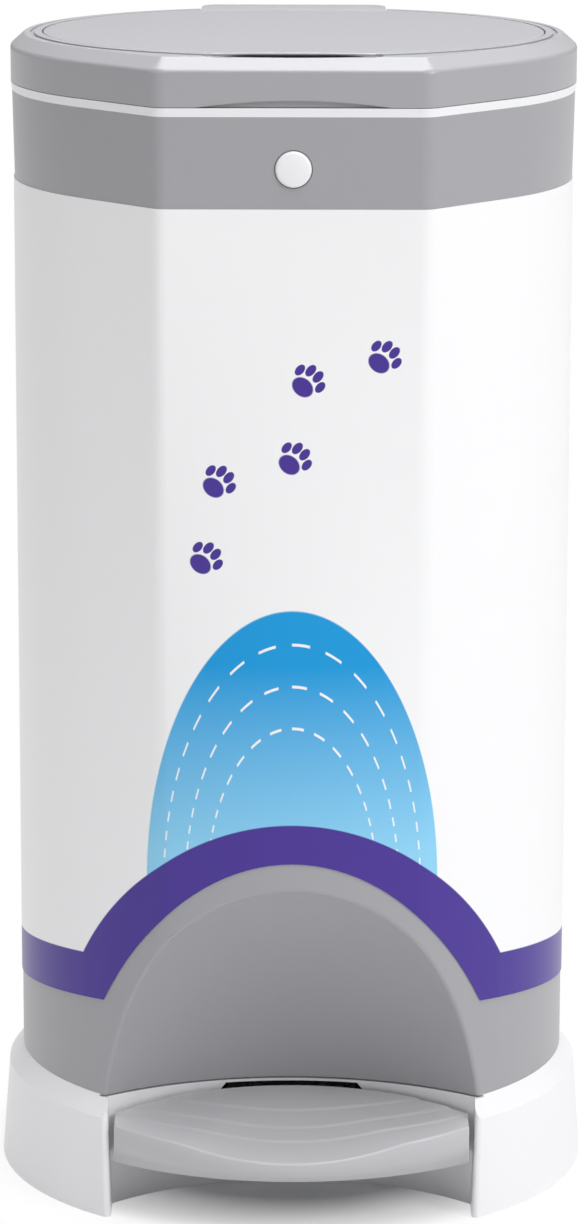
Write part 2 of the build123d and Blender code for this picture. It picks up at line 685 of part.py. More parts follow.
with BuildPart() as lid_cover:
    with BuildSketch(Plane.XY.offset(lid_bottom)):
        add(faceted_plan(rim_overhang))
    extrude(amount=lid_side_height)
    with BuildSketch(Plane.XY.offset(lid_crease)):
        add(faceted_plan(rim_overhang))
    with BuildSketch(Plane.XY.offset(lid_top)):
        add(faceted_plan(lid_slope_out))
    loft(ruled=True)
    fillet(edges().filter_by(lambda e: abs(e.center().Z - lid_crease) < pin_play),
           lid_crease_round)
    fillet(edges().group_by(Axis.Z)[-1], lid_edge_round)
    add(ring(bead_outer, lid_mouth_radius, (ledge_bottom, lid_top + bead_height)))
    add(ring(groove_outer, bead_outer, (lid_top - bead_groove, lid_top + bead_groove)),
        mode=Mode.SUBTRACT)
    with BuildSketch(Plane.XY.offset(flap_seat)):
        Circle(recess_radius)
    extrude(amount=flap_recess_depth + 2 * bead_height, mode=Mode.SUBTRACT)
    with BuildSketch(Plane.XY.offset(lid_bottom)):
        Circle(lid_mouth_radius)
    extrude(amount=lid_top, mode=Mode.SUBTRACT)
    add(lid_hollow.part, mode=Mode.SUBTRACT)
    # dip in the bead, and finger pocket under the straight front edge of the flap
    with BuildSketch(Plane.XY.offset(lid_top - finger_dip_depth)):
        with Locations((0, finger_dip_width / 2 - groove_outer)):
            SlotOverall(2 * finger_dip_half_width, finger_dip_width)
    extrude(amount=finger_dip_depth + 2 * bead_height, mode=Mode.SUBTRACT)
    add(block((-pocket_half_width, pocket_half_width), (-pocket_front, -pocket_back),
              (flap_seat - pocket_depth, flap_seat)), mode=Mode.SUBTRACT)
    # thumb scoop in the lower front edge
    with BuildSketch(Plane.XZ.offset(front_facet_distance + rim_overhang - crescent_depth)):
        with Locations((0, lid_bottom + crescent_height - crescent_radius)):
            Circle(crescent_radius)
    extrude(amount=2 * crescent_depth, mode=Mode.SUBTRACT)
    # hinge housing of the flap
    add(block((-notch_half_width, notch_half_width), (lid_mouth_radius, wrap_reach),
              (flap_seat, lid_top + 2 * bead_height)), mode=Mode.SUBTRACT)
    add(block((-notch_half_width, notch_half_width), (notch_start, wrap_reach),
              (lid_notch_floor, lid_top + 2 * bead_height)), mode=Mode.SUBTRACT)
    add(block((-crank_slot_half_width, crank_slot_half_width),
              (crank_slot_front, crank_slot_back),
              (lid_notch_floor - 2 * notch_wall, lid_top)), mode=Mode.SUBTRACT)
    ear_front = flap_axis_distance - flap_ear_half_depth
    add(side_pair([(ear_front, lid_notch_floor), (ear_front + 2 * flap_ear_half_depth,
                                                  lid_notch_floor),
                   (ear_front + 2 * flap_ear_half_depth, flap_axis_height),
                   (ear_front, flap_axis_height)], flap_ear_inner, flap_ear_outer))
    for side in (1, -1):
        with BuildSketch(Plane.YZ.offset(side * flap_ear_inner)):
            with Locations((flap_axis_distance, flap_axis_height)):
                Circle(flap_ear_half_depth)
        extrude(amount=side * flap_ear_thickness)
    add(cross_bar(flap_axis_distance, flap_axis_height, flap_pin_radius + pin_play,
                  flap_ear_outer + 1), mode=Mode.SUBTRACT)
    # pilot holes for the funnel's screws
    with BuildSketch(Plane.XY.offset(ledge_bottom)):
        with Locations(*flange_screw_spots):
            Circle(flange_screw_radius + pin_play)
    extrude(amount=flange_screw_grip, mode=Mode.SUBTRACT)
    # latch tab with its window
    add(block((-tab_half_width, tab_half_width), (-tab_distance, -tab_back),
              (rim_top - tab_length, flap_seat - pocket_depth)))
    add(block((-latch_half_width - 1, latch_half_width + 1), (-tab_distance, -tab_back),
              (window_low, window_high)), mode=Mode.SUBTRACT)
    # knuckle of the lid's own hinge
    add(block((-lid_knuckle_half_length, lid_knuckle_half_length),
              (web_front, lid_axis_distance), (lid_bottom, lid_bottom + web_rise)))
    add(cross_bar(lid_axis_distance, lid_axis_height, lid_knuckle_radius,
                  lid_knuckle_half_length))
    add(cross_bar(lid_axis_distance, lid_axis_height, lid_pin_radius + pin_clearance,
                  lid_knuckle_half_length), mode=Mode.SUBTRACT)
lid_cover.part.label = "lid_cover"
export_step(lid_cover.part, "parts/lid_cover.step")

# ---------------------------------------------------------------- flap in the lid
flap_bottom = flap_seat + running_gap + seal_height
flap_edge_top = flap_bottom + flap_edge_thickness
tongue_bottom = flap_axis_height + tongue_rise
tongue_back = flap_axis_distance + tongue_reach
tongue_overlap = 23.0        # of the tongue over the round of the flap
tongue_start = flap_radius - tongue_overlap
tongue_corner = 9.0
flap_edge_round = 0.8
flap_front_drop = 1.5          # of the flap's bevelled front edge
crank_width = 12.0
crank_plate_half_width = 13.0
crank_plate_thickness = 1.4
crank_plate_setback = 5.0    # in front of the flap's axis
crank_plate_back = flap_axis_distance - crank_plate_setback
crank_neck_setback = 7.5     # in front of the flap's axis
crank_neck_back = flap_axis_distance - crank_neck_setback
crank_pin_y = flap_axis_distance - crank_reach
crank_plate_reach = 5.4      # in front of the cross pin
crank_plate_front = crank_pin_y - crank_plate_reach
crank_pin_z = flap_axis_height - crank_drop
crank_eye_wall = 0.5         # round the cross pin
crank_eye = cross_pin_radius + crank_eye_wall
seal_mouth_gap = 1.0         # outside the lid's mouth
seal_inner = lid_mouth_radius + seal_mouth_gap
liner_inset = 5.0            # inside the lid's mouth
liner_radius = lid_mouth_radius - liner_inset
liner_taper = 5.0            # of the lining towards its foot
liner_foot_radius = liner_radius - liner_taper
liner_wall = 1.6

with BuildPart() as flap:
    with BuildSketch(Plane.YZ):
        with BuildLine():
            Polyline((flap_radius, flap_edge_top), (flap_radius, flap_bottom), (0, flap_bottom),
                     (0, flap_edge_top + flap_crown))
            ThreePointArc((0, flap_edge_top + flap_crown),
                          (flap_radius / 2, flap_edge_top + 0.75 * flap_crown),
                          (flap_radius, flap_edge_top))
        make_face()
        fillet(vertices().sort_by_distance((flap_radius, flap_edge_top))[0], flap_edge_round)
    revolve(axis=Axis.Z)
    add(block((-flap_radius, flap_radius), (-flap_radius, -finger_chord_distance),
              (flap_bottom, flap_edge_top + flap_crown)), mode=Mode.SUBTRACT)
    add(side_prism([(-finger_chord_distance - flap_front_drop, flap_edge_top - flap_front_drop),
                    (-finger_chord_distance + 2 * flap_crown, flap_edge_top + flap_crown),
                    (-finger_chord_distance - flap_front_drop, flap_edge_top + flap_crown)],
                   -finger_dip_half_width, finger_dip_half_width), mode=Mode.SUBTRACT)
    with BuildSketch(Plane.XY.offset(tongue_bottom)):
        with Locations((0, (tongue_start + tongue_back) / 2)):
            Rectangle(2 * tongue_half_width, tongue_back - tongue_start)
        fillet(vertices().group_by(Axis.Y)[-1], tongue_corner)
    extrude(amount=tongue_thickness)
    add(block((-flap_barrel_half_length, flap_barrel_half_length),
              (flap_axis_distance - flap_barrel_radius + running_gap,
               flap_axis_distance + flap_barrel_radius - running_gap),
              (flap_axis_height, tongue_bottom)))
    add(cross_bar(flap_axis_distance, flap_axis_height, flap_barrel_radius,
                  flap_barrel_half_length))
    add(cross_bar(flap_axis_distance, flap_axis_height, flap_pin_radius + pin_clearance,
                  flap_barrel_half_length), mode=Mode.SUBTRACT)
flap.part.label = "flap"
export_step(flap.part, "parts/flap.step")

with BuildPart() as flap_pin:
    add(cross_bar(flap_axis_distance, flap_axis_height, flap_pin_radius, flap_ear_outer))
flap_pin.part.label = "flap_pin"
export_step(flap_pin.part, "parts/flap_pin.step")

with BuildPart() as flap_crank:
    add(block((-crank_plate_half_width, crank_plate_half_width),
              (crank_plate_front, crank_plate_back),
              (flap_bottom - crank_plate_thickness, flap_bottom)))
    add(side_pair([(crank_plate_front, flap_bottom), (crank_neck_back, flap_bottom),
                   (crank_pin_y + crank_eye, crank_pin_z), (crank_pin_y - crank_eye, crank_pin_z)],
                  crank_width - crank_arm_thickness, crank_width))
    add(cross_bar(crank_pin_y, crank_pin_z, cross_pin_radius, crank_width))
flap_crank.part.label = "flap_crank"
export_step(flap_crank.part, "parts/flap_crank.step")

with BuildPart() as flap_seal:
    add(ring(seal_inner + seal_width, seal_inner, (flap_seat + running_gap, flap_bottom)))
flap_seal.part.label = "flap_seal"
export_step(flap_seal.part, "parts/flap_seal.step")

with BuildPart() as flap_liner:
    with BuildSketch(Plane.YZ):
        with BuildLine():
            Polyline((0, flap_bottom - flap_liner_depth), (liner_foot_radius, flap_bottom
                                                           - flap_liner_depth),
                     (liner_radius, flap_bottom), (liner_radius - liner_wall, flap_bottom),
                     (liner_foot_radius - liner_wall, flap_bottom - flap_liner_depth
                      + liner_wall),
                     (0, flap_bottom - flap_liner_depth + liner_wall), close=True)
        make_face()
    revolve(axis=Axis.Z)
flap_liner.part.label = "flap_liner"
export_step(flap_liner.part, "parts/flap_liner.step")

with BuildPart() as lid_pin:
    add(cross_bar(lid_axis_distance, lid_axis_height, lid_pin_radius, ear_outer))
lid_pin.part.label = "lid_pin"
export_step(lid_pin.part, "parts/lid_pin.step")

# ---------------------------------------------------------------- funnel and inner door
chute_mouth_gap = 1.0        # outside the lid's mouth
chute_top_radius = lid_mouth_radius + chute_mouth_gap
flange_reach = 8.0           # outside the lid's mouth
flange_outer = lid_mouth_radius + flange_reach
flange_thickness = 2.5
chute_pocket_gap = 0.4       # behind the finger pocket's wall
chute_side_gap = 0.5         # beside that wall
flange_head_radius = 1.9
flange_head_height = 1.2
trap_axis_y = trap_axis_distance
hinge_root = throat_radius - throat_shift      # where the funnel's hinge ears start
hinge_root_height = 7.0
trap_ear_inner = trap_barrel_half_length + running_gap
trap_ear_thickness = 5.0
trap_ear_outer = trap_ear_inner + trap_ear_thickness
trap_eye_wall = 3.0          # round the inner door's pin
trap_eye = trap_pin_radius + trap_eye_wall
trap_seal_height = 1.3
trap_seal_gap = 0.3          # outside the throat
trap_seal_inner = throat_radius + trap_seal_gap
trap_top = throat_height - running_gap - trap_seal_height
trap_bottom = trap_top - trap_thickness
trap_tab_inner = crank_width + running_gap
trap_pin_y = trap_axis_distance + crank_reach
trap_pin_z = trap_axis_height - crank_drop

with BuildPart() as chute_inside:
    with BuildSketch(Plane.XY.offset(ledge_bottom)):
        Circle(chute_top_radius)
    with BuildSketch(Plane.XY.offset(throat_height)):
        with Locations((0, -throat_shift)):
            Circle(throat_radius)
    loft(ruled=True)

with BuildPart() as chute:
    with BuildSketch(Plane.XY.offset(ledge_bottom)):
        Circle(chute_top_radius + chute_wall)
    with BuildSketch(Plane.XY.offset(throat_height)):
        with Locations((0, -throat_shift)):
            Circle(throat_radius + chute_wall)
    loft(ruled=True)
    add(ring(flange_outer, chute_top_radius, (ledge_bottom - flange_thickness, ledge_bottom)))
    add(side_pair([(hinge_root - 1, throat_height),
                   (hinge_root + chute_wall, throat_height + hinge_root_height),
                   (trap_axis_y - 2, throat_height + hinge_root_height),
                   (trap_axis_y + trap_eye, trap_axis_height + 2),
                   (trap_axis_y + trap_eye, trap_axis_height),
                   (trap_axis_y - trap_eye, trap_axis_height),
                   (hinge_root + 2 * chute_wall, throat_height)],
                  trap_ear_inner, trap_ear_outer))
    add(side_pair([(trap_axis_y - trap_eye, trap_axis_height),
                   (trap_axis_y + trap_eye, trap_axis_height),
                   (trap_axis_y + trap_eye / 2, trap_axis_height - trap_eye),
                   (trap_axis_y - trap_eye / 2, trap_axis_height - trap_eye)],
                  trap_ear_inner, trap_ear_outer))
    add(chute_inside.part, mode=Mode.SUBTRACT)
    add(cross_bar(trap_axis_y, trap_axis_height, trap_pin_radius + pin_play, trap_ear_outer + 1),
        mode=Mode.SUBTRACT)
    add(block((-crank_slot_half_width - 1, crank_slot_half_width + 1),
              (crank_slot_front + 0.5, flange_outer), (ledge_bottom - 2 * flange_thickness,
                                                       ledge_bottom)), mode=Mode.SUBTRACT)
    add(block((-pocket_half_width - pocket_wall - chute_side_gap,
               pocket_half_width + pocket_wall + chute_side_gap),
              (-flange_outer, -pocket_back + pocket_wall + chute_pocket_gap),
              (ledge_bottom - 2 * pocket_depth, ledge_bottom)), mode=Mode.SUBTRACT)
    with BuildSketch(Plane.XY.offset(ledge_bottom - flange_thickness)):
        with Locations(*flange_screw_spots):
            Circle(flange_screw_radius + pin_play)
    extrude(amount=flange_thickness, mode=Mode.SUBTRACT)
chute.part.label = "chute"
export_step(chute.part, "parts/chute.step")

with BuildPart() as chute_screws:
    with BuildSketch(Plane.XY.offset(ledge_bottom - flange_thickness - flange_head_height)):
        with Locations(*flange_screw_spots):
            Circle(flange_head_radius)
    extrude(amount=flange_head_height)
    with BuildSketch(Plane.XY.offset(ledge_bottom - flange_thickness)):
        with Locations(*flange_screw_spots):
            Circle(flange_screw_radius)
    extrude(amount=flange_thickness + flange_screw_grip)
chute_screws.part.label = "chute_screws"
export_step(chute_screws.part, "parts/chute_screws.step")

with BuildPart() as trap_door:
    with BuildSketch(Plane.XY.offset(trap_bottom)):
        with Locations((0, -throat_shift)):
            Circle(trap_radius)
    extrude(amount=trap_thickness)
    add(side_pair([(trap_radius - 4 * throat_shift, trap_bottom),
                   (trap_axis_y, trap_bottom), (trap_axis_y, trap_top),
                   (trap_radius - 4 * throat_shift, trap_top)],
                  trap_tab_inner, trap_barrel_half_length))
    add(cross_bar(trap_axis_y, trap_axis_height, trap_barrel_radius, trap_barrel_half_length))
    add(cross_bar(trap_axis_y, trap_axis_height, trap_pin_radius + pin_clearance,
                  trap_barrel_half_length), mode=Mode.SUBTRACT)
trap_door.part.label = "trap_door"
export_step(trap_door.part, "parts/trap_door.step")

with BuildPart() as trap_pin:
    add(cross_bar(trap_axis_y, trap_axis_height, trap_pin_radius, trap_ear_outer))
trap_pin.part.label = "trap_pin"
export_step(trap_pin.part, "parts/trap_pin.step")

with BuildPart() as trap_seal:
    add(ring(trap_seal_inner + seal_width, trap_seal_inner, (trap_top, trap_top
                                                             + trap_seal_height), throat_shift))
trap_seal.part.label = "trap_seal"
export_step(trap_seal.part, "parts/trap_seal.step")

crank_hub_wall = 2.5         # round the inner door's barrel
crank_hub = trap_barrel_radius + crank_hub_wall
with BuildPart() as trap_crank:
    for side in (1, -1):
        with BuildSketch(Plane.YZ.offset(side * (crank_width - crank_arm_thickness))):
            with Locations((trap_axis_y, trap_axis_height)):
                Circle(crank_hub)
            with Locations((trap_pin_y, trap_pin_z)):
                Circle(crank_eye)
            make_hull()
            with Locations((trap_axis_y, trap_axis_height)):
                Circle(trap_barrel_radius + pin_play, mode=Mode.SUBTRACT)
        extrude(amount=side * crank_arm_thickness)
    add(cross_bar(trap_pin_y, trap_pin_z, cross_pin_radius, crank_width))
trap_crank.part.label = "trap_crank"
export_step(trap_crank.part, "parts/trap_crank.step")

# ---------------------------------------------------------------- underside of the base
plate_edge_gap = 0.4         # between the plate and the skirt
plate_radius = skirt_inner - plate_edge_gap
plate_bay_gap = 0.4
axle_ear_inner = 18.0
axle_ear_outer = 24.0
axle_ear_reach = 8.0
spring_setback = 14.0        # of the spring behind the bay's wall
spring_seat_y = spring_setback + bay_wall - bay_floor_depth
spring_boss_radius = 4.5
spring_boss_height = 5.0
head_radius = 4.0
head_recess = 2.4
head_height = 2.0
pad_radius = 9.0
pad_thickness = 1.2
pad_inset = 15.5             # of the pads' circle inside the skirt
pad_circle = skirt_inner - pad_inset
pad_angles = (11.5, 52.9, 127.1, 168.5)
pad_spots = [(pad_circle * cos(radians(turn)), pad_circle * sin(radians(turn)))
             for turn in pad_angles]

with BuildPart() as base_plate:
    with BuildSketch(Plane.XY):
        Circle(plate_radius)
        add(bay_plan(bay_floor_half_width + bay_wall + plate_bay_gap,
                     bay_floor_side_depth - bay_wall - plate_bay_gap,
                     bay_floor_depth - bay_wall - plate_bay_gap), mode=Mode.SUBTRACT)
    extrude(amount=plate_thickness)
    add(side_pair([(-pedal_axis_distance - 2 * axle_ear_reach, plate_thickness),
                   (-pedal_axis_distance + 2 * axle_ear_reach, plate_thickness),
                   (-pedal_axis_distance + axle_ear_reach, pedal_axis_height),
                   (-pedal_axis_distance - axle_ear_reach, pedal_axis_height)],
                  axle_ear_inner, axle_ear_outer))
    for side in (1, -1):
        with BuildSketch(Plane.YZ.offset(side * axle_ear_inner)):
            with Locations((-pedal_axis_distance, pedal_axis_height)):
                Circle(axle_ear_reach)
        extrude(amount=side * (axle_ear_outer - axle_ear_inner))
    add(cross_bar(-pedal_axis_distance, pedal_axis_height, axle_radius + pin_play,
                  axle_ear_outer + 1), mode=Mode.SUBTRACT)
    with BuildSketch(Plane.XY.offset(plate_thickness)):
        with Locations((0, spring_seat_y)):
            Circle(spring_boss_radius)
    extrude(amount=spring_boss_height)
    with BuildSketch(Plane.XY):
        with Locations(*screw_spots):
            Circle(screw_radius + screw_clearance)
    extrude(amount=plate_thickness, mode=Mode.SUBTRACT)
    with BuildSketch(Plane.XY):
        with Locations(*screw_spots):
            Circle(head_radius + screw_clearance)
    extrude(amount=head_recess, mode=Mode.SUBTRACT)
    with BuildSketch(Plane.XY):
        with Locations(*pad_spots):
            Circle(pad_radius)
    extrude(amount=pad_thickness, mode=Mode.SUBTRACT)
base_plate.part.label = "base_plate"
export_step(base_plate.part, "parts/base_plate.step")

with BuildPart() as plate_screws:
    with BuildSketch(Plane.XY.offset(head_recess - head_height)):
        with Locations(*screw_spots):
            Circle(head_radius)
    extrude(amount=head_height)
    with BuildSketch(Plane.XY.offset(head_recess)):
        with Locations(*screw_spots):
            Circle(screw_radius)
    extrude(amount=screw_length)
plate_screws.part.label = "plate_screws"
export_step(plate_screws.part, "parts/plate_screws.step")

with BuildPart() as grip_pads:
    with BuildSketch(Plane.XY):
        with Locations(*pad_spots):
            Circle(pad_radius)
    extrude(amount=pad_thickness)
grip_pads.part.label = "grip_pads"
export_step(grip_pads.part, "parts/grip_pads.step")

# ---------------------------------------------------------------- pedal lever and rod
lever_tip_setback = 26.5     # behind the pedal's front
lever_tip = pedal_front_radius - lever_tip_setback
lever_tip_drop = 14.0        # below the tread's rear edge
lever_tip_top = tread_rear_height - lever_tip_drop
lever_neck_setback = 0.7     # behind the bay's back at its top
lever_neck_front = bay_back_depth - lever_neck_setback
lever_neck_drop = 4.6        # below the tread's rear edge
lever_neck_top = tread_rear_height - lever_neck_drop
lever_neck_reach = 9.0       # behind the bay's back at the floor
lever_neck_back = bay_floor_depth - lever_neck_reach
lever_bend_reach = 7.0       # in front of the axle
lever_bend_back = pedal_axis_distance + lever_bend_reach
lever_bend_rise = 7.5        # above the axle
lever_bend_top = pedal_axis_height + lever_bend_rise
lever_tail_reach = 1.0       # behind the rod
lever_tail = rod_distance + rod_depth / 2 + lever_tail_reach
lever_tail_rise = 5.5        # above the axle
lever_tail_top = pedal_axis_height + lever_tail_rise
lever_hub_radius = 7.0
lever_hub_half_length = 17.5
spring_seat_radius = 8.0
spring_seat_lip = 3.5        # of the seat's rear edge
spring_seat_drop = 14.5      # below the lever's neck
spring_seat_bottom = lever_neck_top - spring_seat_drop
rod_foot_gap = 0.35
rod_foot_round = 2.3
rod_foot = lever_tail_top + rod_foot_gap
rod_pad_top = crank_pin_z - cross_pin_radius - crank_gap
rod_pad_half_width = 7.5
rod_pad_reach = 5.2          # in front of the crank's cross pin
rod_pad_front = crank_pin_y - rod_pad_reach
rod_pad_thickness = 4.0
rod_front = rod_distance - rod_depth / 2
rod_back = rod_distance + rod_depth / 2
pusher_top = trap_pin_z - cross_pin_radius - crank_gap
pusher_front = trap_pin_y - cross_pin_radius
pusher_thickness = 4.0
pusher_sleeve_height = 8.0
sleeve_wall = 2.5

with BuildPart() as pedal_lever:
    add(side_prism([(-lever_tip, lever_tip_top), (-lever_neck_front, lever_neck_top),
                    (-lever_neck_back, lever_neck_top),
                    (-lever_neck_back, lever_neck_top - lever_thickness),
                    (-lever_neck_front, lever_neck_top - lever_thickness),
                    (-lever_tip, lever_tip_top - lever_thickness)],
                   -neck_half_width, neck_half_width))
    add(side_prism([(-lever_neck_front, lever_neck_top), (-lever_neck_back, lever_neck_top),
                    (-lever_bend_back, lever_bend_top), (0, lever_tail_top),
                    (lever_tail, lever_tail_top),
                    (lever_tail, lever_tail_top - lever_thickness),
                    (0, lever_tail_top - lever_thickness),
                    (-lever_bend_back, lever_bend_top - lever_thickness - 1),
                    (-lever_neck_back, lever_neck_top - lever_thickness),
                    (-lever_neck_front, lever_neck_top - lever_thickness)],
                   -lever_half_width, lever_half_width))
    add(cross_bar(-pedal_axis_distance, pedal_axis_height, lever_hub_radius,
                  lever_hub_half_length))
    add(side_prism([(spring_seat_y - spring_seat_radius, spring_seat_bottom),
                    (spring_seat_y + spring_seat_radius, spring_seat_bottom),
                    (spring_seat_y + spring_seat_radius, spring_seat_bottom + spring_seat_lip),
                    (spring_seat_y - spring_seat_radius, lever_neck_top - lever_thickness / 2)],
                   -spring_seat_radius, spring_seat_radius))
    add(cross_bar(-pedal_axis_distance, pedal_axis_height, axle_radius + pin_clearance,
                  lever_hub_half_length), mode=Mode.SUBTRACT)
pedal_lever.part.label = "pedal_lever"
export_step(pedal_lever.part, "parts/pedal_lever.step")

with BuildPart() as pedal_axle:
    add(cross_bar(-pedal_axis_distance, pedal_axis_height, axle_radius, axle_ear_outer))
pedal_axle.part.label = "pedal_axle"
export_step(pedal_axle.part, "parts/pedal_axle.step")

coil_radius = 6.2
coil_wire = 0.7
coil_turns = 5
spring_low = plate_thickness + coil_wire
spring_high = spring_seat_bottom - coil_wire
with BuildPart() as pedal_spring:
    with BuildLine() as coil_line:
        Helix(pitch=(spring_high - spring_low) / coil_turns, height=spring_high - spring_low,
              radius=coil_radius, center=(0, spring_seat_y, spring_low))
    with BuildSketch(Plane(coil_line.line @ 0, z_dir=coil_line.line % 0)):
        RegularPolygon(radius=coil_wire, side_count=6)
    sweep(path=coil_line.line, is_frenet=True)
pedal_spring.part.label = "pedal_spring"
export_step(pedal_spring.part, "parts/pedal_spring.step")

with BuildPart() as push_rod:
    add(block((-rod_half_width, rod_half_width), (rod_front, rod_back),
              (rod_foot, rod_pad_top)))
    fillet(edges().filter_by(Axis.X).group_by(Axis.Z)[0], rod_foot_round)
    add(block((-rod_pad_half_width, rod_pad_half_width), (rod_pad_front, rod_back),
              (rod_pad_top - rod_pad_thickness, rod_pad_top)))
push_rod.part.label = "push_rod"
export_step(push_rod.part, "parts/push_rod.step")

with BuildPart() as trap_pusher:
    add(block((-rod_pad_half_width, rod_pad_half_width), (pusher_front, rod_front),
              (pusher_top - pusher_thickness, pusher_top)))
    add(block((-rod_half_width - sleeve_wall, rod_half_width + sleeve_wall),
              (rod_front - sleeve_wall, rod_back + sleeve_wall),
              (pusher_top - pusher_sleeve_height, pusher_top)))
    add(block((-rod_half_width, rod_half_width), (rod_front, rod_back),
              (pusher_top - pusher_sleeve_height, pusher_top)), mode=Mode.SUBTRACT)
trap_pusher.part.label = "trap_pusher"
export_step(trap_pusher.part, "parts/trap_pusher.step")

guide_foot_gap = 1.7         # above the base's locating ring
guide_low = base_height + ring_height + guide_foot_gap
guide_high = rim_top - neck_length
guide_half_width = 10.0
guide_play = 0.4
guide_cover = 3.0            # in front of the rod
guide_front = rod_front - guide_cover
with BuildPart() as rod_guide:
    with BuildSketch(Plane.XY.offset(guide_low)):
        Circle(body_radius - body_wall)
        with Locations((0, guide_front / 2)):
            Rectangle(2 * guide_half_width, 3 * guide_front, mode=Mode.INTERSECT)
        with Locations((0, 0)):
            Rectangle(4 * guide_half_width, 2 * guide_front, mode=Mode.SUBTRACT)
        with Locations((0, -body_radius)):
            Rectangle(4 * guide_half_width, 2 * body_radius, mode=Mode.SUBTRACT)
        with Locations((0, rod_distance)):
            Rectangle(2 * (rod_half_width + guide_play), rod_depth + 2 * guide_play,
                      mode=Mode.SUBTRACT)
    extrude(amount=guide_high - guide_low)
rod_guide.part.label = "rod_guide"
export_step(rod_guide.part, "parts/rod_guide.step")

# ---------------------------------------------------------------- pedal
pedal_rear = alcove_floor_radius - pedal_rear_gap
pedal_top_limit = base_height + 4
pedal_hollow_drop = pedal_wall + len(step_setbacks) * step_depth
window_side_gap = 2.0        # beside the lever's neck
lever_window_half_width = neck_half_width + window_side_gap
window_low_gap = 3.0         # below the lever's neck
lever_window_low = lever_neck_top - lever_thickness - window_low_gap
window_high_gap = 1.5        # above the lever's neck
lever_window_high = lever_neck_top + window_high_gap


def pedal_plan(inset: float) -> Sketch:
    """Plan of the pedal, moved in by inset: hollow arc at the back, round at the front."""
    with BuildSketch() as plan:
        with Locations((0, 0)):
            Circle(pedal_front_radius - inset)
        with Locations((0, -alcove_axis_distance)):
            Circle(pedal_rear - inset, mode=Mode.INTERSECT)
        Rectangle(2 * (pedal_half_width - inset), 4 * pedal_half_width, mode=Mode.INTERSECT)
    return plan.sketch


def tread_cut(drop: float, beyond: float) -> Part:
    """What lies above the tread's surface lowered by drop, in front of one curved step."""
    slope = tan(radians(tread_slope))
    rear_y = -bay_back(-pedal_rear_gap, 0)
    front_y = -pedal_front_radius - pedal_wall
    rear_z = tread_rear_height - drop + slope * pedal_wall
    front_z = tread_rear_height - drop - slope * (rear_y - front_y)
    axis_z = dish_front_height - drop + dish_radius / cos(radians(dish_slope))
    high = pedal_top_limit + pedal_wall
    with BuildPart() as cut:
        with BuildSketch(Plane((0, -pedal_front_radius, axis_z),
                               x_dir=(1, 0, 0),
                               z_dir=(0, cos(radians(dish_slope)), sin(radians(dish_slope))))):
            Circle(dish_radius)
        extrude(amount=pedal_front_radius, both=True)
        add(block((-pedal_half_width - 1, pedal_half_width + 1), (front_y, 0), (0, high)),
            mode=Mode.INTERSECT)
        add(side_prism([(rear_y + pedal_wall, rear_z), (front_y, front_z), (front_y, high),
                        (rear_y + pedal_wall, high)], -pedal_half_width - 1,
                       pedal_half_width + 1))
        if beyond > 0:
            with BuildSketch():
                with Locations((0, step_radius - beyond)):
                    Circle(step_radius)
            extrude(amount=high, mode=Mode.SUBTRACT)
    return cut.part


with BuildPart() as pedal_inside:
    with BuildSketch(Plane.XY.offset(pedal_bottom_height)):
        add(pedal_plan(pedal_wall))
    extrude(amount=pedal_top_limit - pedal_bottom_height)
    add(tread_cut(pedal_hollow_drop, 0), mode=Mode.SUBTRACT)

with BuildPart() as pedal:
    with BuildSketch(Plane.XY.offset(pedal_bottom_height)):
        add(pedal_plan(0))
    extrude(amount=pedal_top_limit - pedal_bottom_height)
    add(tread_cut(0, 0), mode=Mode.SUBTRACT)
    for number, setback in enumerate(step_setbacks):
        add(tread_cut((number + 1) * step_depth, pedal_front_radius - setback),
            mode=Mode.SUBTRACT)
    add(pedal_inside.part, mode=Mode.SUBTRACT)
    add(block((-lever_window_half_width, lever_window_half_width),
              (-bay_back(-pedal_rear_gap, 0) - 3 * pedal_wall, 0),
              (lever_window_low, lever_window_high)), mode=Mode.SUBTRACT)
pedal.part.label = "pedal"
export_step(pedal.part, "parts/pedal.step")

# ---------------------------------------------------------------- button and latch
button_wall_front = (front_facet_distance
                     + rim_flare * (button_height - label_top) / (body_top - label_top))
button_face = -button_wall_front - button_proud
flange_play = 0.1            # of the button's flange behind the wall
flange_front = -button_wall_front + body_wall + running_gap + flange_play
button_flange_thickness = 2.0
flange_back = flange_front + button_flange_thickness
button_flange_width = 1.7    # round the button
flange_radius = button_radius + button_flange_width
latch_bar_drop = 3.4         # below the button's middle
latch_bar_low = button_height - latch_bar_drop
latch_bar_height = 5.0
latch_bar_high = latch_bar_low + latch_bar_height
latch_riser_reach = 6.0      # behind the tab
latch_riser_back = -tab_back + latch_riser_reach
latch_riser_front = latch_riser_back - latch_riser_thickness
latch_riser_high = window_high + 1.0
latch_nose_tip = -tab_distance + 1.0
latch_nose_low = window_low + 1.0
latch_nose_high = window_high - 1.0
latch_nose_half_width = latch_half_width - 1.0
housing_play = 0.5           # beyond the button's stroke
housing_front = flange_back + button_travel + housing_play
housing_back = -neck_outer - 0.5
housing_wall = 2.0
housing_side_gap = 1.5       # beside the slide
housing_inner = latch_half_width + housing_side_gap
housing_side_top = rim_top - tab_length - 1.0
housing_floor_top = latch_bar_low - running_gap
button_spring_radius = 3.2
button_spring_wire = 0.5
button_spring_gap = 0.3      # above the slide's bar
button_spring_height = latch_bar_high + button_spring_radius + button_spring_gap
button_spring_turns = 3

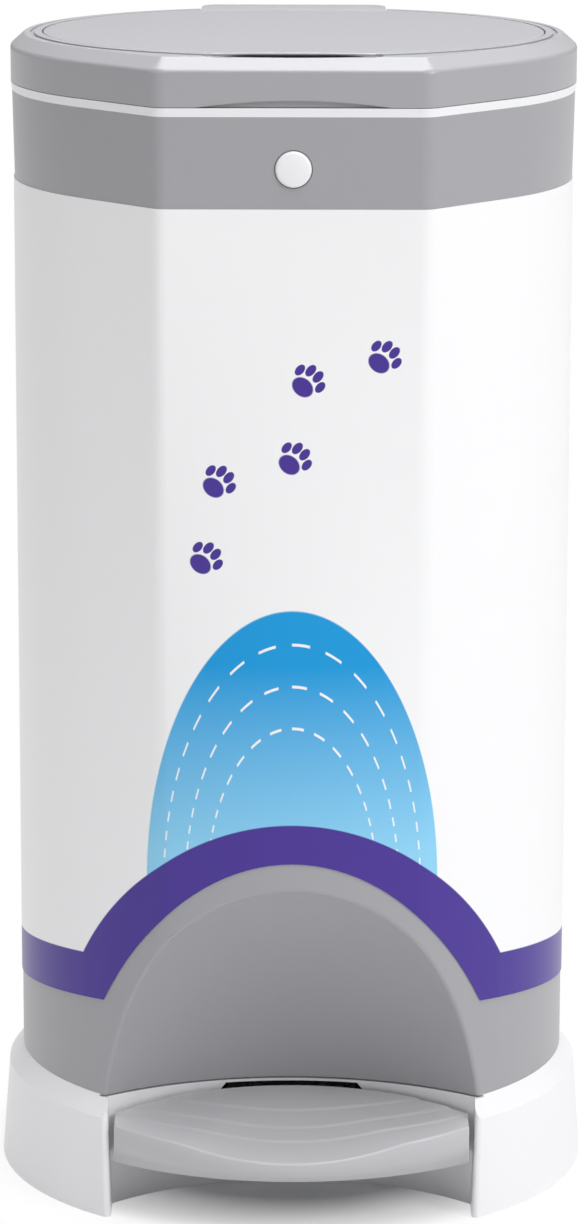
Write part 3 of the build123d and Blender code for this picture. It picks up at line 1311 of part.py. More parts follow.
with BuildPart() as lid_button:
    with BuildSketch(Plane.XZ.offset(-flange_back)):
        with Locations((0, button_height)):
            Circle(button_radius)
    extrude(amount=flange_back - button_face)
    fillet(edges().group_by(Axis.Y)[0], button_edge_round)
    with BuildSketch(Plane.XZ.offset(-flange_back)):
        with Locations((0, button_height)):
            Circle(flange_radius)
    extrude(amount=flange_back - flange_front)
lid_button.part.label = "lid_button"
export_step(lid_button.part, "parts/lid_button.step")

with BuildPart() as latch_slide:
    add(block((-latch_half_width, latch_half_width), (flange_back, latch_riser_back),
              (latch_bar_low, latch_bar_high)))
    add(block((-latch_half_width, latch_half_width), (latch_riser_front, latch_riser_back),
              (latch_bar_low, latch_riser_high)))
    add(block((-latch_nose_half_width, latch_nose_half_width),
              (latch_nose_tip, latch_riser_front), (latch_nose_low, latch_nose_high)))
latch_slide.part.label = "latch_slide"
export_step(latch_slide.part, "parts/latch_slide.step")

with BuildPart() as latch_housing:
    add(block((-housing_inner - housing_wall, housing_inner + housing_wall),
              (housing_front, housing_back),
              (housing_floor_top - housing_wall, housing_side_top)))
    add(block((-housing_inner, housing_inner), (housing_front, housing_back - housing_wall),
              (housing_floor_top, housing_side_top)), mode=Mode.SUBTRACT)
    add(block((-housing_inner - housing_wall, housing_inner + housing_wall),
              (housing_back - housing_wall, housing_back), (housing_floor_top, body_top)))
latch_housing.part.label = "latch_housing"
export_step(latch_housing.part, "parts/latch_housing.step")

button_spring_start = latch_riser_back + button_spring_wire
button_spring_length = housing_back - housing_wall - button_spring_wire - button_spring_start
with BuildPart() as button_spring:
    with BuildLine() as small_coil:
        Helix(pitch=button_spring_length / button_spring_turns, height=button_spring_length,
              radius=button_spring_radius,
              center=(0, button_spring_start, button_spring_height), direction=(0, 1, 0))
    with BuildSketch(Plane(small_coil.line @ 0, z_dir=small_coil.line % 0)):
        RegularPolygon(radius=button_spring_wire, side_count=6)
    sweep(path=small_coil.line, is_frenet=True)
button_spring.part.label = "button_spring"
export_step(button_spring.part, "parts/button_spring.step")

# ---------------------------------------------------------------- carry handle
handle_pad_reach = 12.0      # outside the screws
handle_outer = handle_half_length + handle_pad_reach
handle_corner = 18.0
handle_pad_width = 8.0       # inside the screws
handle_pad_inner = handle_half_length - handle_pad_width
handle_pad_inset = 7.0       # of the screws' seats inside the body's back
handle_pad_back = body_radius - handle_pad_inset
handle_low = body_top - handle_drop - handle_half_height
handle_strap_front = body_radius + handle_reach
handle_strap_back = handle_strap_front + handle_thickness
handle_root_depth = 8.0      # in front of the bosses
handle_root = handle_boss_front - handle_root_depth
handle_head_radius = 3.4
handle_head_height = 2.2
handle_screw_end = handle_boss_front + 1.0

with BuildPart() as carry_handle:
    with BuildSketch(Plane.XY.offset(handle_low)):
        with Locations((0, (handle_root + handle_strap_back) / 2)):
            Rectangle(2 * handle_outer, handle_strap_back - handle_root)
        fillet(vertices().group_by(Axis.Y)[-1], handle_corner)
    extrude(amount=2 * handle_half_height)
    with BuildSketch(Plane.XY.offset(handle_low)):
        with Locations((0, (handle_root + handle_strap_front) / 2)):
            Rectangle(2 * (handle_outer - handle_thickness), handle_strap_front - handle_root)
        fillet(vertices().group_by(Axis.Y)[-1], handle_corner - handle_thickness)
    extrude(amount=2 * handle_half_height, mode=Mode.SUBTRACT)
    fillet(edges().filter_by(lambda e: e.center().Y > handle_strap_front - handle_corner
                             and abs(e.tangent_at(0.5).Z) < 0.1), handle_thickness / 4)
    for side in (1, -1):
        add(block((min(side * handle_pad_inner, side * handle_outer),
                   max(side * handle_pad_inner, side * handle_outer)),
                  (handle_root, handle_pad_back),
                  (handle_low, handle_low + 2 * handle_half_height)))
    add(tapered_body(0, base_height, body_top), mode=Mode.SUBTRACT)
    with BuildSketch(Plane.XZ.offset(-handle_root)):
        with Locations(*handle_screw_spots):
            Circle(handle_screw_radius + screw_clearance)
    extrude(amount=handle_root - handle_strap_back, mode=Mode.SUBTRACT)
carry_handle.part.label = "carry_handle"
export_step(carry_handle.part, "parts/carry_handle.step")

with BuildPart() as handle_screws:
    with BuildSketch(Plane.XZ.offset(-handle_pad_back)):
        with Locations(*handle_screw_spots):
            Circle(handle_head_radius)
    extrude(amount=-handle_head_height)
    with BuildSketch(Plane.XZ.offset(-handle_screw_end)):
        with Locations(*handle_screw_spots):
            Circle(handle_screw_radius)
    extrude(amount=handle_screw_end - handle_pad_back)
handle_screws.part.label = "handle_screws"
export_step(handle_screws.part, "parts/handle_screws.step")
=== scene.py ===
"""Looks of the step-on litter pail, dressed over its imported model.

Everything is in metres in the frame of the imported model: +Z up, the front (pedal side)
faces -Y, and the origin is on the floor on the axis of the round body.
"""

import logging
import math
from dataclasses import dataclass, field
from enum import Enum
from typing import Iterable, Sequence

import bmesh
import bpy
from mathutils import Matrix, Vector


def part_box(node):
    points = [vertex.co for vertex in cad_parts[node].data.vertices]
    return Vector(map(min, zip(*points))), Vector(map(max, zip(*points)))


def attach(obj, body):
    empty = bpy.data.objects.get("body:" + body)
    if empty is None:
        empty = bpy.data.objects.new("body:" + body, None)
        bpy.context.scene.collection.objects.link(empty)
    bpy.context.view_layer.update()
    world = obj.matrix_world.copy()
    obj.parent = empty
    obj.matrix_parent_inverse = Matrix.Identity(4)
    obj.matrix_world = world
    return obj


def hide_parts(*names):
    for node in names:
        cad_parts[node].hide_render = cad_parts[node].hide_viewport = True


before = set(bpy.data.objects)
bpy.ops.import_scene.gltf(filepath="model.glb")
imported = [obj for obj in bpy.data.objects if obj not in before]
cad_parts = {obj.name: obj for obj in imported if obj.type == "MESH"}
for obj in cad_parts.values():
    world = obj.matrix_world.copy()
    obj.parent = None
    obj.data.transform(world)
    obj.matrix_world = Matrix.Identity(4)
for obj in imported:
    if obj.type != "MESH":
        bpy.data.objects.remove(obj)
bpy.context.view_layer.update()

LOG = logging.getLogger("litter_pail")
MM = 0.001
TOUCH = 1e-6          # places closer than this are one
ON_AXIS = 1e-9        # a point nearer the axis than this lies on it
CREASE = math.radians(35.0)   # an edge that turns by more stays crisp
UP = (0.0, 0.0, 1.0)
BACKWARD = (0.0, 1.0, 0.0)
ACROSS = (1.0, 0.0, 0.0)
WHITE = (1.0, 1.0, 1.0, 1.0)

Colour = tuple[float, float, float]
Pair = tuple[float, float]
Place = tuple[float, float, float]


# ---------------------------------------------------------------- colours
def linear(red: int, green: int, blue: int) -> Colour:
    """Colour from eight-bit display values.

    Args:
        red: Red from 0 to 255.
        green: Green from 0 to 255.
        blue: Blue from 0 to 255.

    Returns:
        The same colour as linear light.
    """
    def channel(value: int) -> float:
        """One channel as linear light, by the display's own curve."""
        share = value / 255
        return share / 12.92 if share <= 0.04045 else ((share + 0.055) / 1.055) ** 2.4
    return channel(red), channel(green), channel(blue)


def dimmed(colour: Colour, share: float) -> Colour:
    """A colour times a share, which may be over 1."""
    return tuple(min(1.0, channel * share) for channel in colour)


# ---------------------------------------------------------------- finishes
class Nodes:
    """Small builder for one material's node tree."""

    def __init__(self, name: str) -> None:
        """Starts a material with a plain shader.

        Args:
            name: The material's name.
        """
        self.material = bpy.data.materials.new(name)
        self.material.use_nodes = True
        self.tree = self.material.node_tree
        self.tree.nodes.clear()
        self.output = self.tree.nodes.new("ShaderNodeOutputMaterial")
        self.shader = self.tree.nodes.new("ShaderNodeBsdfPrincipled")
        self.join(self.shader, "BSDF", self.output, "Surface")
        self.place = self.tree.nodes.new("ShaderNodeTexCoord")

    def join(self, source: bpy.types.Node, out: str | int, target: bpy.types.Node,
             into: str | int) -> None:
        """Links one node's output to another node's input."""
        self.tree.links.new(source.outputs[out], target.inputs[into])

    def noise(self, scale: float, detail: float = 2.0) -> bpy.types.Node:
        """A noise pattern over the piece's own place.

        Args:
            scale: Waves per metre.
            detail: Octaves of finer noise.

        Returns:
            The noise node.
        """
        node = self.tree.nodes.new("ShaderNodeTexNoise")
        node.inputs["Scale"].default_value = scale
        node.inputs["Detail"].default_value = detail
        self.join(self.place, "Object", node, "Vector")
        return node

    def spread(self, source: bpy.types.Node, out: str, low: float, high: float,
               start: float = 0.3, end: float = 0.7) -> bpy.types.Node:
        """Maps one range of a value onto another.

        Args:
            source: The node that gives the value.
            out: Its output.
            low: Result at the range's start.
            high: Result at the range's end.
            start: Start of the range.
            end: End of the range.

        Returns:
            The node that gives the result.
        """
        node = self.tree.nodes.new("ShaderNodeMapRange")
        node.inputs["From Min"].default_value = start
        node.inputs["From Max"].default_value = end
        node.inputs["To Min"].default_value = low
        node.inputs["To Max"].default_value = high
        self.join(source, out, node, "Value")
        return node

    def maths(self, kind: str, *values: object) -> bpy.types.Node:
        """A Math node.

        Args:
            kind: Blender's name of the operation.
            values: Its inputs: numbers, nodes, or pairs of a node and its output.

        Returns:
            The Math node.
        """
        node = self.tree.nodes.new("ShaderNodeMath")
        node.operation = kind
        for index, value in enumerate(values):
            if isinstance(value, tuple):
                self.join(value[0], value[1], node, index)
            elif isinstance(value, bpy.types.Node):
                self.join(value, 0, node, index)
            else:
                node.inputs[index].default_value = value
        return node

    def mixed(self, share: bpy.types.Node, first: object, second: object) -> bpy.types.Node:
        """A mix of two colours.

        Args:
            share: Node that gives the share of the second colour.
            first: A colour, or another mix.
            second: A colour, or another mix.

        Returns:
            The mix.
        """
        node = self.tree.nodes.new("ShaderNodeMix")
        node.data_type = "RGBA"
        self.join(share, 0, node, 0)
        for slot, value in ((6, first), (7, second)):
            if isinstance(value, bpy.types.Node):
                self.join(value, 2, node, slot)
            else:
                node.inputs[slot].default_value = (*value, 1.0)
        return node

    def paint(self, mix: bpy.types.Node) -> None:
        """Gives the shader a mix as its colour."""
        self.join(mix, 2, self.shader, "Base Color")

    def cloud(self, pattern: bpy.types.Node, dark: Colour, light: Colour) -> None:
        """Lets the colour drift between two values with a pattern."""
        self.paint(self.mixed(self.spread(pattern, "Fac", 0.0, 1.0), dark, light))

    def rub(self, pattern: bpy.types.Node, low: float, high: float) -> None:
        """Lets the roughness drift between two values with a pattern."""
        self.join(self.spread(pattern, "Fac", low, high), "Result", self.shader, "Roughness")

    def bump(self, pattern: bpy.types.Node, strength: float, height: float) -> None:
        """Raises the surface by a pattern.

        Args:
            pattern: A noise node.
            strength: Share of the height that is used.
            height: Height in metres at full strength.
        """
        node = self.tree.nodes.new("ShaderNodeBump")
        node.inputs["Strength"].default_value = strength
        node.inputs["Distance"].default_value = height
        self.join(pattern, "Fac", node, "Height")
        self.join(node, "Normal", self.shader, "Normal")

    def set(self, **values: float) -> None:
        """Sets sockets of the shader that are the same all over."""
        for name, value in values.items():
            self.shader.inputs[name.replace("_", " ")].default_value = value


@dataclass(frozen=True)
class MouldedPlastic:
    """Injection-moulded plastic with a fine spark-eroded grain."""

    name: str
    colour: Colour
    roughness: float
    mottle: float = 0.008
    mottle_scale: float = 6.0
    polish: float = 0.01
    polish_scale: float = 12.0
    grain: float = 0.04
    grain_scale: float = 1500.0
    grain_height: float = 0.06 * MM
    refraction: float = 1.49

    def material(self) -> bpy.types.Material:
        """Builds the material.

        Returns:
            The new material.
        """
        nodes = Nodes(self.name)
        nodes.cloud(nodes.noise(self.mottle_scale, 1.0), dimmed(self.colour, 1 - self.mottle),
                    dimmed(self.colour, 1 + self.mottle))
        nodes.rub(nodes.noise(self.polish_scale, 1.0), self.roughness - self.polish,
                  self.roughness + self.polish)
        nodes.set(IOR=self.refraction)
        nodes.bump(nodes.noise(self.grain_scale), self.grain, self.grain_height)
        return nodes.material


@dataclass(frozen=True)
class PlatedSteel:
    """Zinc-plated steel, softly brushed."""

    name: str
    colour: Colour = (0.62, 0.63, 0.65)
    roughness: float = 0.3
    dullest: float = 0.86
    cloud_scale: float = 120.0
    smoother: float = 0.06
    rougher: float = 0.1
    rub_scale: float = 600.0
    brushing: float = 0.3
    grain: float = 0.08
    grain_scale: float = 2500.0
    grain_height: float = 0.03 * MM

    def material(self) -> bpy.types.Material:
        """Builds the material.

        Returns:
            The new material.
        """
        nodes = Nodes(self.name)
        nodes.cloud(nodes.noise(self.cloud_scale, 4.0), dimmed(self.colour, self.dullest),
                    self.colour)
        nodes.set(Metallic=1.0, Anisotropic=self.brushing)
        nodes.rub(nodes.noise(self.rub_scale, 3.0), self.roughness - self.smoother,
                  self.roughness + self.rougher)
        nodes.bump(nodes.noise(self.grain_scale, 1.0), self.grain, self.grain_height)
        return nodes.material


@dataclass(frozen=True)
class SoftRubber:
    """Matt rubber of the seals and feet."""

    name: str
    colour: Colour
    dullest: float = 0.85
    cloud_scale: float = 60.0
    smoothest: float = 0.68
    roughest: float = 0.8
    shine: float = 0.3
    grain: float = 0.2
    grain_scale: float = 1200.0
    grain_height: float = 0.08 * MM

    def material(self) -> bpy.types.Material:
        """Builds the material.

        Returns:
            The new material.
        """
        nodes = Nodes(self.name)
        cloudy = nodes.noise(self.cloud_scale, 3.0)
        nodes.cloud(cloudy, dimmed(self.colour, self.dullest), self.colour)
        nodes.set(Specular_IOR_Level=self.shine)
        nodes.rub(cloudy, self.smoothest, self.roughest)
        nodes.bump(nodes.noise(self.grain_scale), self.grain, self.grain_height)
        return nodes.material


@dataclass(frozen=True)
class PrintedWrap:
    """White film with printed bands, drawn over the shell's own place.

    The arches are ellipses in the front view and the skirt band rises towards the front,
    as the lower edge of the wrap does. Sizes are in millimetres, and shares are of an
    ellipse's half sizes.
    """

    name: str
    white: Colour
    band: Colour
    sky_high: Colour
    sky_low: Colour
    paws: Colour
    skirt_low: float
    skirt_height: float = 22.0
    skirt_slope: float = 0.115
    edge_blur: float = 0.25
    front_start: float = 1.0
    arch_half_width: float = 112.0
    arch_height: float = 137.0
    arch_centre: float = 61.4
    arch_blur: float = 0.002
    sky_centre: float = 168.0
    sky_half_width: float = 68.0
    sky_height: float = 132.0
    sky_blur: float = 0.003
    fade_start: float = 15.0
    fade_end_share: float = 0.8
    dash_shares: tuple[float, ...] = (0.58, 0.73, 0.88)
    dash_half_width: float = 0.005
    dash_blur: float = 0.001
    dash_count: float = 46.0
    dash_gap_blur: float = 0.15
    trail_start: Pair = (-58.0, 318.0)
    trail_turn: float = math.radians(49.0)
    trail_step: float = 31.0
    trail_paws: int = 5
    trail_half_width: float = 9.5
    heel: tuple[Pair, Pair] = ((-2.6, 0.0), (4.1, 5.3))
    toes: tuple[tuple[Pair, Pair], ...] = (((2.6, 6.1), (2.9, 1.9)), ((5.6, 2.2), (3.1, 2.0)))
    paw_blur: float = 0.06
    smoothest: float = 0.3
    roughest: float = 0.32
    rub_scale: float = 8.0
    refraction: float = 1.45
    shine: float = 0.38

    def _axes(self, nodes: Nodes) -> tuple[bpy.types.Node, bpy.types.Node, bpy.types.Node]:
        """The place on the wrap in millimetres.

        Args:
            nodes: The material.

        Returns:
            Nodes for the place across, the distance forward of the axis, and the height.
        """
        split = nodes.tree.nodes.new("ShaderNodeSeparateXYZ")
        nodes.join(nodes.place, "Object", split, "Vector")
        across = nodes.maths("MULTIPLY", (split, "X"), 1 / MM)
        forward = nodes.maths("MAXIMUM", nodes.maths("MULTIPLY", (split, "Y"), -1 / MM), 0.0)
        height = nodes.maths("MULTIPLY", (split, "Z"), 1 / MM)
        return across, forward, height

    def _below(self, nodes: Nodes, value: bpy.types.Node, limit: float,
               blur: float) -> bpy.types.Node:
        """One where value is under limit and zero above it, with a narrow soft edge."""
        return nodes.spread(value, "Value", 1.0, 0.0, limit - blur, limit + blur)

    def _ellipse(self, nodes: Nodes, across: bpy.types.Node, height: bpy.types.Node,
                 centre: Pair, half: Pair) -> bpy.types.Node:
        """Distance from an ellipse's centre as a share of its half sizes.

        Args:
            nodes: The material.
            across: First place.
            height: Second place.
            centre: The ellipse's centre.
            half: Its half sizes.

        Returns:
            A node that gives 1 on the ellipse.
        """
        flat = nodes.maths("DIVIDE", nodes.maths("SUBTRACT", across, centre[0]), half[0])
        tall = nodes.maths("DIVIDE", nodes.maths("SUBTRACT", height, centre[1]), half[1])
        squares = nodes.maths("ADD", nodes.maths("MULTIPLY", flat, flat),
                              nodes.maths("MULTIPLY", tall, tall))
        return nodes.maths("SQRT", squares)

    def _most(self, nodes: Nodes, kind: str, values: Iterable[bpy.types.Node]) -> bpy.types.Node:
        """The smallest or largest of several values.

        Args:
            nodes: The material.
            kind: MINIMUM or MAXIMUM.
            values: The nodes that give the values.

        Returns:
            The node that gives the result.
        """
        first, *others = values
        for other in others:
            first = nodes.maths(kind, first, other)
        return first

    def _trail(self, nodes: Nodes, across: bpy.types.Node,
               height: bpy.types.Node) -> bpy.types.Node:
        """A slanting trail of paw prints, left and right in turn.

        Args:
            nodes: The material.
            across: Place across the wrap.
            height: Height on the wrap.

        Returns:
            A node that gives 1 on the prints and 0 beside them.
        """
        shift_x = nodes.maths("SUBTRACT", across, self.trail_start[0])
        shift_z = nodes.maths("SUBTRACT", height, self.trail_start[1])
        cosine, sine = math.cos(self.trail_turn), math.sin(self.trail_turn)
        along = nodes.maths("ADD", nodes.maths("MULTIPLY", shift_x, cosine),
                            nodes.maths("MULTIPLY", shift_z, sine))
        aside = nodes.maths("SUBTRACT", nodes.maths("MULTIPLY", shift_z, cosine),
                            nodes.maths("MULTIPLY", shift_x, sine))
        steps = nodes.maths("DIVIDE", along, self.trail_step)
        number = nodes.maths("FLOOR", steps)
        within = nodes.maths("SUBTRACT", nodes.maths("SUBTRACT", steps, number), 0.5)
        within = nodes.maths("MULTIPLY", within, self.trail_step)
        odd = nodes.maths("PINGPONG", number, 1.0)
        side = nodes.maths("MULTIPLY", nodes.maths("SUBTRACT", odd, 0.5),
                           2 * self.trail_half_width)
        aside = nodes.maths("SUBTRACT", aside, side)
        pads = [self.heel] + [((ahead, turned * beside), half)
                              for (ahead, beside), half in self.toes for turned in (-1, 1)]
        nearest = self._most(nodes, "MINIMUM", [self._ellipse(nodes, within, aside, *pad)
                                                for pad in pads])
        inside = self._below(nodes, nearest, 1.0, self.paw_blur)
        first = nodes.maths("GREATER_THAN", along, 0.0)
        last = nodes.maths("LESS_THAN", along, self.trail_paws * self.trail_step)
        return nodes.maths("MULTIPLY", inside, nodes.maths("MULTIPLY", first, last))

    def _dashes(self, nodes: Nodes, dome: bpy.types.Node, across: bpy.types.Node,
                height: bpy.types.Node) -> bpy.types.Node:
        """Dashed arcs inside the dome.

        Args:
            nodes: The material.
            dome: Distance from the dome's centre as a share of its half sizes.
            across: Place across the wrap.
            height: Height on the wrap.

        Returns:
            A node that gives 1 on the dashes and 0 beside them.
        """
        angle = nodes.maths("ARCTAN2", nodes.maths("SUBTRACT", height, self.sky_centre), across)
        beat = nodes.maths("SINE", nodes.maths("MULTIPLY", angle, self.dash_count))
        gate = nodes.spread(beat, "Value", 0.0, 1.0, -self.dash_gap_blur, 0.0)
        lines = []
        for share in self.dash_shares:
            off = nodes.maths("ABSOLUTE", nodes.maths("SUBTRACT", dome, share))
            line = self._below(nodes, off, self.dash_half_width, self.dash_blur)
            lines.append(nodes.maths("MULTIPLY", line, gate))
        return self._most(nodes, "MAXIMUM", lines)

    def material(self) -> bpy.types.Material:
        """Builds the material.

        Returns:
            The new material.
        """
        nodes = Nodes(self.name)
        across, forward, height = self._axes(nodes)
        front = nodes.maths("GREATER_THAN", forward, self.front_start)

        rise = nodes.maths("SUBTRACT", height, nodes.maths("MULTIPLY", forward, self.skirt_slope))
        in_skirt = self._below(nodes, rise, self.skirt_low + self.skirt_height, self.edge_blur)
        arch = self._ellipse(nodes, across, height, (0.0, self.arch_centre),
                             (self.arch_half_width, self.arch_height))
        in_arch = nodes.maths("MULTIPLY", self._below(nodes, arch, 1.0, self.arch_blur), front)
        band = nodes.maths("MAXIMUM", in_skirt, in_arch)

        dome = self._ellipse(nodes, across, height, (0.0, self.sky_centre),
                             (self.sky_half_width, self.sky_height))
        sky = nodes.maths("MULTIPLY", self._below(nodes, dome, 1.0, self.sky_blur), front)
        fade = nodes.spread(height, "Value", 0.0, 1.0, self.sky_centre + self.fade_start,
                            self.sky_centre + self.sky_height * self.fade_end_share)
        dashes = nodes.maths("MULTIPLY", self._dashes(nodes, dome, across, height), sky)
        trail = nodes.maths("MULTIPLY", self._trail(nodes, across, height), front)

        colour = nodes.mixed(sky, self.white, nodes.mixed(fade, self.sky_low, self.sky_high))
        colour = nodes.mixed(dashes, colour, self.white)
        colour = nodes.mixed(trail, colour, self.paws)
        nodes.paint(nodes.mixed(band, colour, self.band))
        nodes.rub(nodes.noise(self.rub_scale, 1.0), self.smoothest, self.roughest)
        nodes.set(IOR=self.refraction, Specular_IOR_Level=self.shine)
        return nodes.material


class Finish(Enum):
    """The finishes of the pail's pieces."""

    GREY_SHELL = MouldedPlastic("grey_shell", linear(160, 160, 164), 0.34)
    GREY_LID = MouldedPlastic("grey_lid", linear(164, 164, 168), 0.3)
    # Painted light: the pedal is the shell's grey, made lighter here to stand in for the extra
    # light that falls on its tread.
    GREY_PEDAL_PAINTED_LIGHTER = MouldedPlastic("grey_pedal_painted_lighter", linear(190, 190, 193), 0.26)
    WHITE_SHELL = MouldedPlastic("white_shell", linear(236, 236, 238), 0.33, mottle=0.004)
    INNER_GREY = MouldedPlastic("inner_grey", linear(168, 169, 172), 0.5)
    BLACK_PLASTIC = MouldedPlastic("black_plastic", linear(38, 38, 40), 0.45)
    WRAP = PrintedWrap("printed_wrap", white=linear(241, 241, 242), band=linear(70, 47, 145),
                       sky_high=linear(0, 150, 215), sky_low=linear(140, 206, 238),
                       paws=linear(70, 47, 145), skirt_low=92.5)
    STEEL = PlatedSteel("plated_steel")
    SPRING_WIRE = PlatedSteel("spring_wire", (0.5, 0.5, 0.52), 0.22)
    SEAL = SoftRubber("seal_rubber", linear(150, 151, 154))
    FOOT = SoftRubber("foot_rubber", linear(70, 70, 73))


class Paintbox:
    """Keeps one Blender material for each finish."""

    def __init__(self) -> None:
        """Starts with nothing mixed."""
        self.made: dict[str, bpy.types.Material] = {}

    def of(self, finish: Finish) -> bpy.types.Material:
        """The material of a finish, built the first time it is asked for.

        Args:
            finish: The finish.

        Returns:
            Its material.
        """
        if finish.name not in self.made:
            self.made[finish.name] = finish.value.material()
        return self.made[finish.name]

    def dress(self, thing: bpy.types.Object, finish: Finish) -> None:
        """Gives an object one finish all over.

        Args:
            thing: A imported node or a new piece.
            finish: What it is made of.
        """
        thing.data.materials.clear()
        thing.data.materials.append(self.of(finish))
        LOG.info("%s: %s, %d faces", thing.name, finish.name, len(thing.data.polygons))


# ---------------------------------------------------------------- modelling helpers
def stand(name: str, data: bpy.types.ID) -> bpy.types.Object:
    """Puts a mesh, a lamp or a camera into the scene.

    Args:
        name: Name of the new object.
        data: What it shows.

    Returns:
        The object, at the origin.
    """
    thing = bpy.data.objects.new(name, data)
    bpy.context.scene.collection.objects.link(thing)
    return thing


def mesh_of(name: str, shape: bmesh.types.BMesh) -> bpy.types.Mesh:
    """Makes a mesh of a bmesh.

    Args:
        name: The mesh's name.
        shape: Its shape, which is freed.

    Returns:
        The mesh.
    """
    mesh = bpy.data.meshes.new(name)
    shape.to_mesh(mesh)
    shape.free()
    return mesh


def quarter_round(count: int) -> list[Pair]:
    """Points of a quarter circle of radius 1, after its start.

    Args:
        count: Number of points.

    Returns:
        Pairs of the distance along the first side and the fall from it.
    """
    turns = [math.radians(90 * step / count) for step in range(1, count + 1)]
    return [(math.sin(turn), 1 - math.cos(turn)) for turn in turns]


def lathe(shape: bmesh.types.BMesh, profile: Sequence[Pair], steps: int,
          middle: Place = (0.0, 0.0, 0.0), axis: Place = UP) -> None:
    """Turns a profile a full circle about an axis.

    Args:
        shape: The mesh that it is added to.
        profile: Pairs of radius and distance along the axis, from one end to the other.
        steps: Number of faces round the circle.
        middle: A point on the axis.
        axis: Direction of the axis: UP, BACKWARD or ACROSS.
    """
    along = Vector(axis)
    out = Vector(UP if axis == ACROSS else ACROSS)
    points = [shape.verts.new(Vector(middle) + out * radius + along * place)
              for radius, place in profile]
    edges = [shape.edges.new(pair) for pair in zip(points, points[1:])]
    bmesh.ops.spin(shape, geom=points + edges, cent=middle, axis=axis, angle=2 * math.pi,
                   steps=steps, use_merge=True)
    bmesh.ops.remove_doubles(shape, verts=shape.verts, dist=TOUCH)


def bar(shape: bmesh.types.BMesh, low: Place, high: Place) -> list[bmesh.types.BMVert]:
    """Adds a plain box.

    Args:
        shape: The mesh that it is added to.
        low: Its lowest corner.
        high: Its highest corner.

    Returns:
        Its vertices.
    """
    place = Matrix.Translation([(a + b) / 2 for a, b in zip(low, high)])
    size = Matrix.Diagonal([b - a for a, b in zip(low, high)] + [1.0])
    return bmesh.ops.create_cube(shape, size=1.0, matrix=place @ size)["verts"]


def soften(shape: bmesh.types.BMesh, edges: Iterable[bmesh.types.BMEdge], width: float,
           segments: int) -> None:
    """Rounds the given edges.

    Args:
        shape: The mesh.
        edges: Its edges that are rounded.
        width: Width of the rounding.
        segments: Number of faces across it.
    """
    bmesh.ops.bevel(shape, geom=list(edges), offset=width, offset_type="OFFSET",
                    segments=segments, profile=0.5, affect="EDGES", clamp_overlap=True,
                    material=-1)


def finished(name: str, shape: bmesh.types.BMesh, body: str, finish: Finish,
             paints: Paintbox, closed: bool = True) -> bpy.types.Object:
    """Makes a piece of a bmesh, dresses it and puts it on its body.

    Args:
        name: The piece's name.
        shape: Its mesh, which is freed.
        body: The moving body that it rides on.
        finish: What it is made of.
        paints: The materials made so far.
        closed: Whether its faces are turned outwards here.

    Returns:
        The new object.
    """
    if closed:
        bmesh.ops.recalc_face_normals(shape, faces=shape.faces)
    for face in shape.faces:
        face.smooth = True
    for edge in shape.edges:
        edge.smooth = len(edge.link_faces) != 2 or edge.calc_face_angle(0.0) < CREASE
    thing = stand(name, mesh_of(name, shape))
    paints.dress(thing, finish)
    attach(thing, body)
    return thing


# ---------------------------------------------------------------- sub-assemblies
@dataclass
class SubAssembly:
    """Pieces that belong together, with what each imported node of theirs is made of."""

    paints: Paintbox
    finishes: dict[str, Finish] = field(default_factory=dict)

    def dress(self) -> None:
        """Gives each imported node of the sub-assembly its finish."""
        for name, finish in self.finishes.items():
            self.paints.dress(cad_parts[name], finish)

    def build(self) -> None:
        """Builds the new pieces, where the sub-assembly has any."""


@dataclass
class FootAndShell(SubAssembly):
    """The base with its plate and axle, the body, the printed wrap and the carry handle."""

    finishes: dict[str, Finish] = field(default_factory=lambda: {
        "base": Finish.WHITE_SHELL, "base_plate": Finish.INNER_GREY,
        "plate_screws": Finish.STEEL, "grip_pads": Finish.FOOT, "body_shell": Finish.GREY_SHELL,
        "wrap_label": Finish.WRAP, "carry_handle": Finish.GREY_SHELL,
        "handle_screws": Finish.STEEL, "rod_guide": Finish.INNER_GREY,
        "pedal_axle": Finish.STEEL, "pedal_spring": Finish.SPRING_WIRE})


@dataclass
class LinerFrame(SubAssembly):
    """The white rim, its seal, the ring that clips the bag, and what sits at the rim."""

    finishes: dict[str, Finish] = field(default_factory=lambda: {
        "rim_frame": Finish.WHITE_SHELL, "lid_seal": Finish.SEAL,
        "liner_ring": Finish.INNER_GREY, "latch_housing": Finish.INNER_GREY,
        "lid_pin": Finish.STEEL})


@dataclass
class Lid(SubAssembly):
    """The hinged lid with its funnel."""

    finishes: dict[str, Finish] = field(default_factory=lambda: {
        "lid_cover": Finish.GREY_LID, "chute": Finish.INNER_GREY, "chute_screws": Finish.STEEL,
        "flap_pin": Finish.STEEL, "trap_pin": Finish.STEEL})


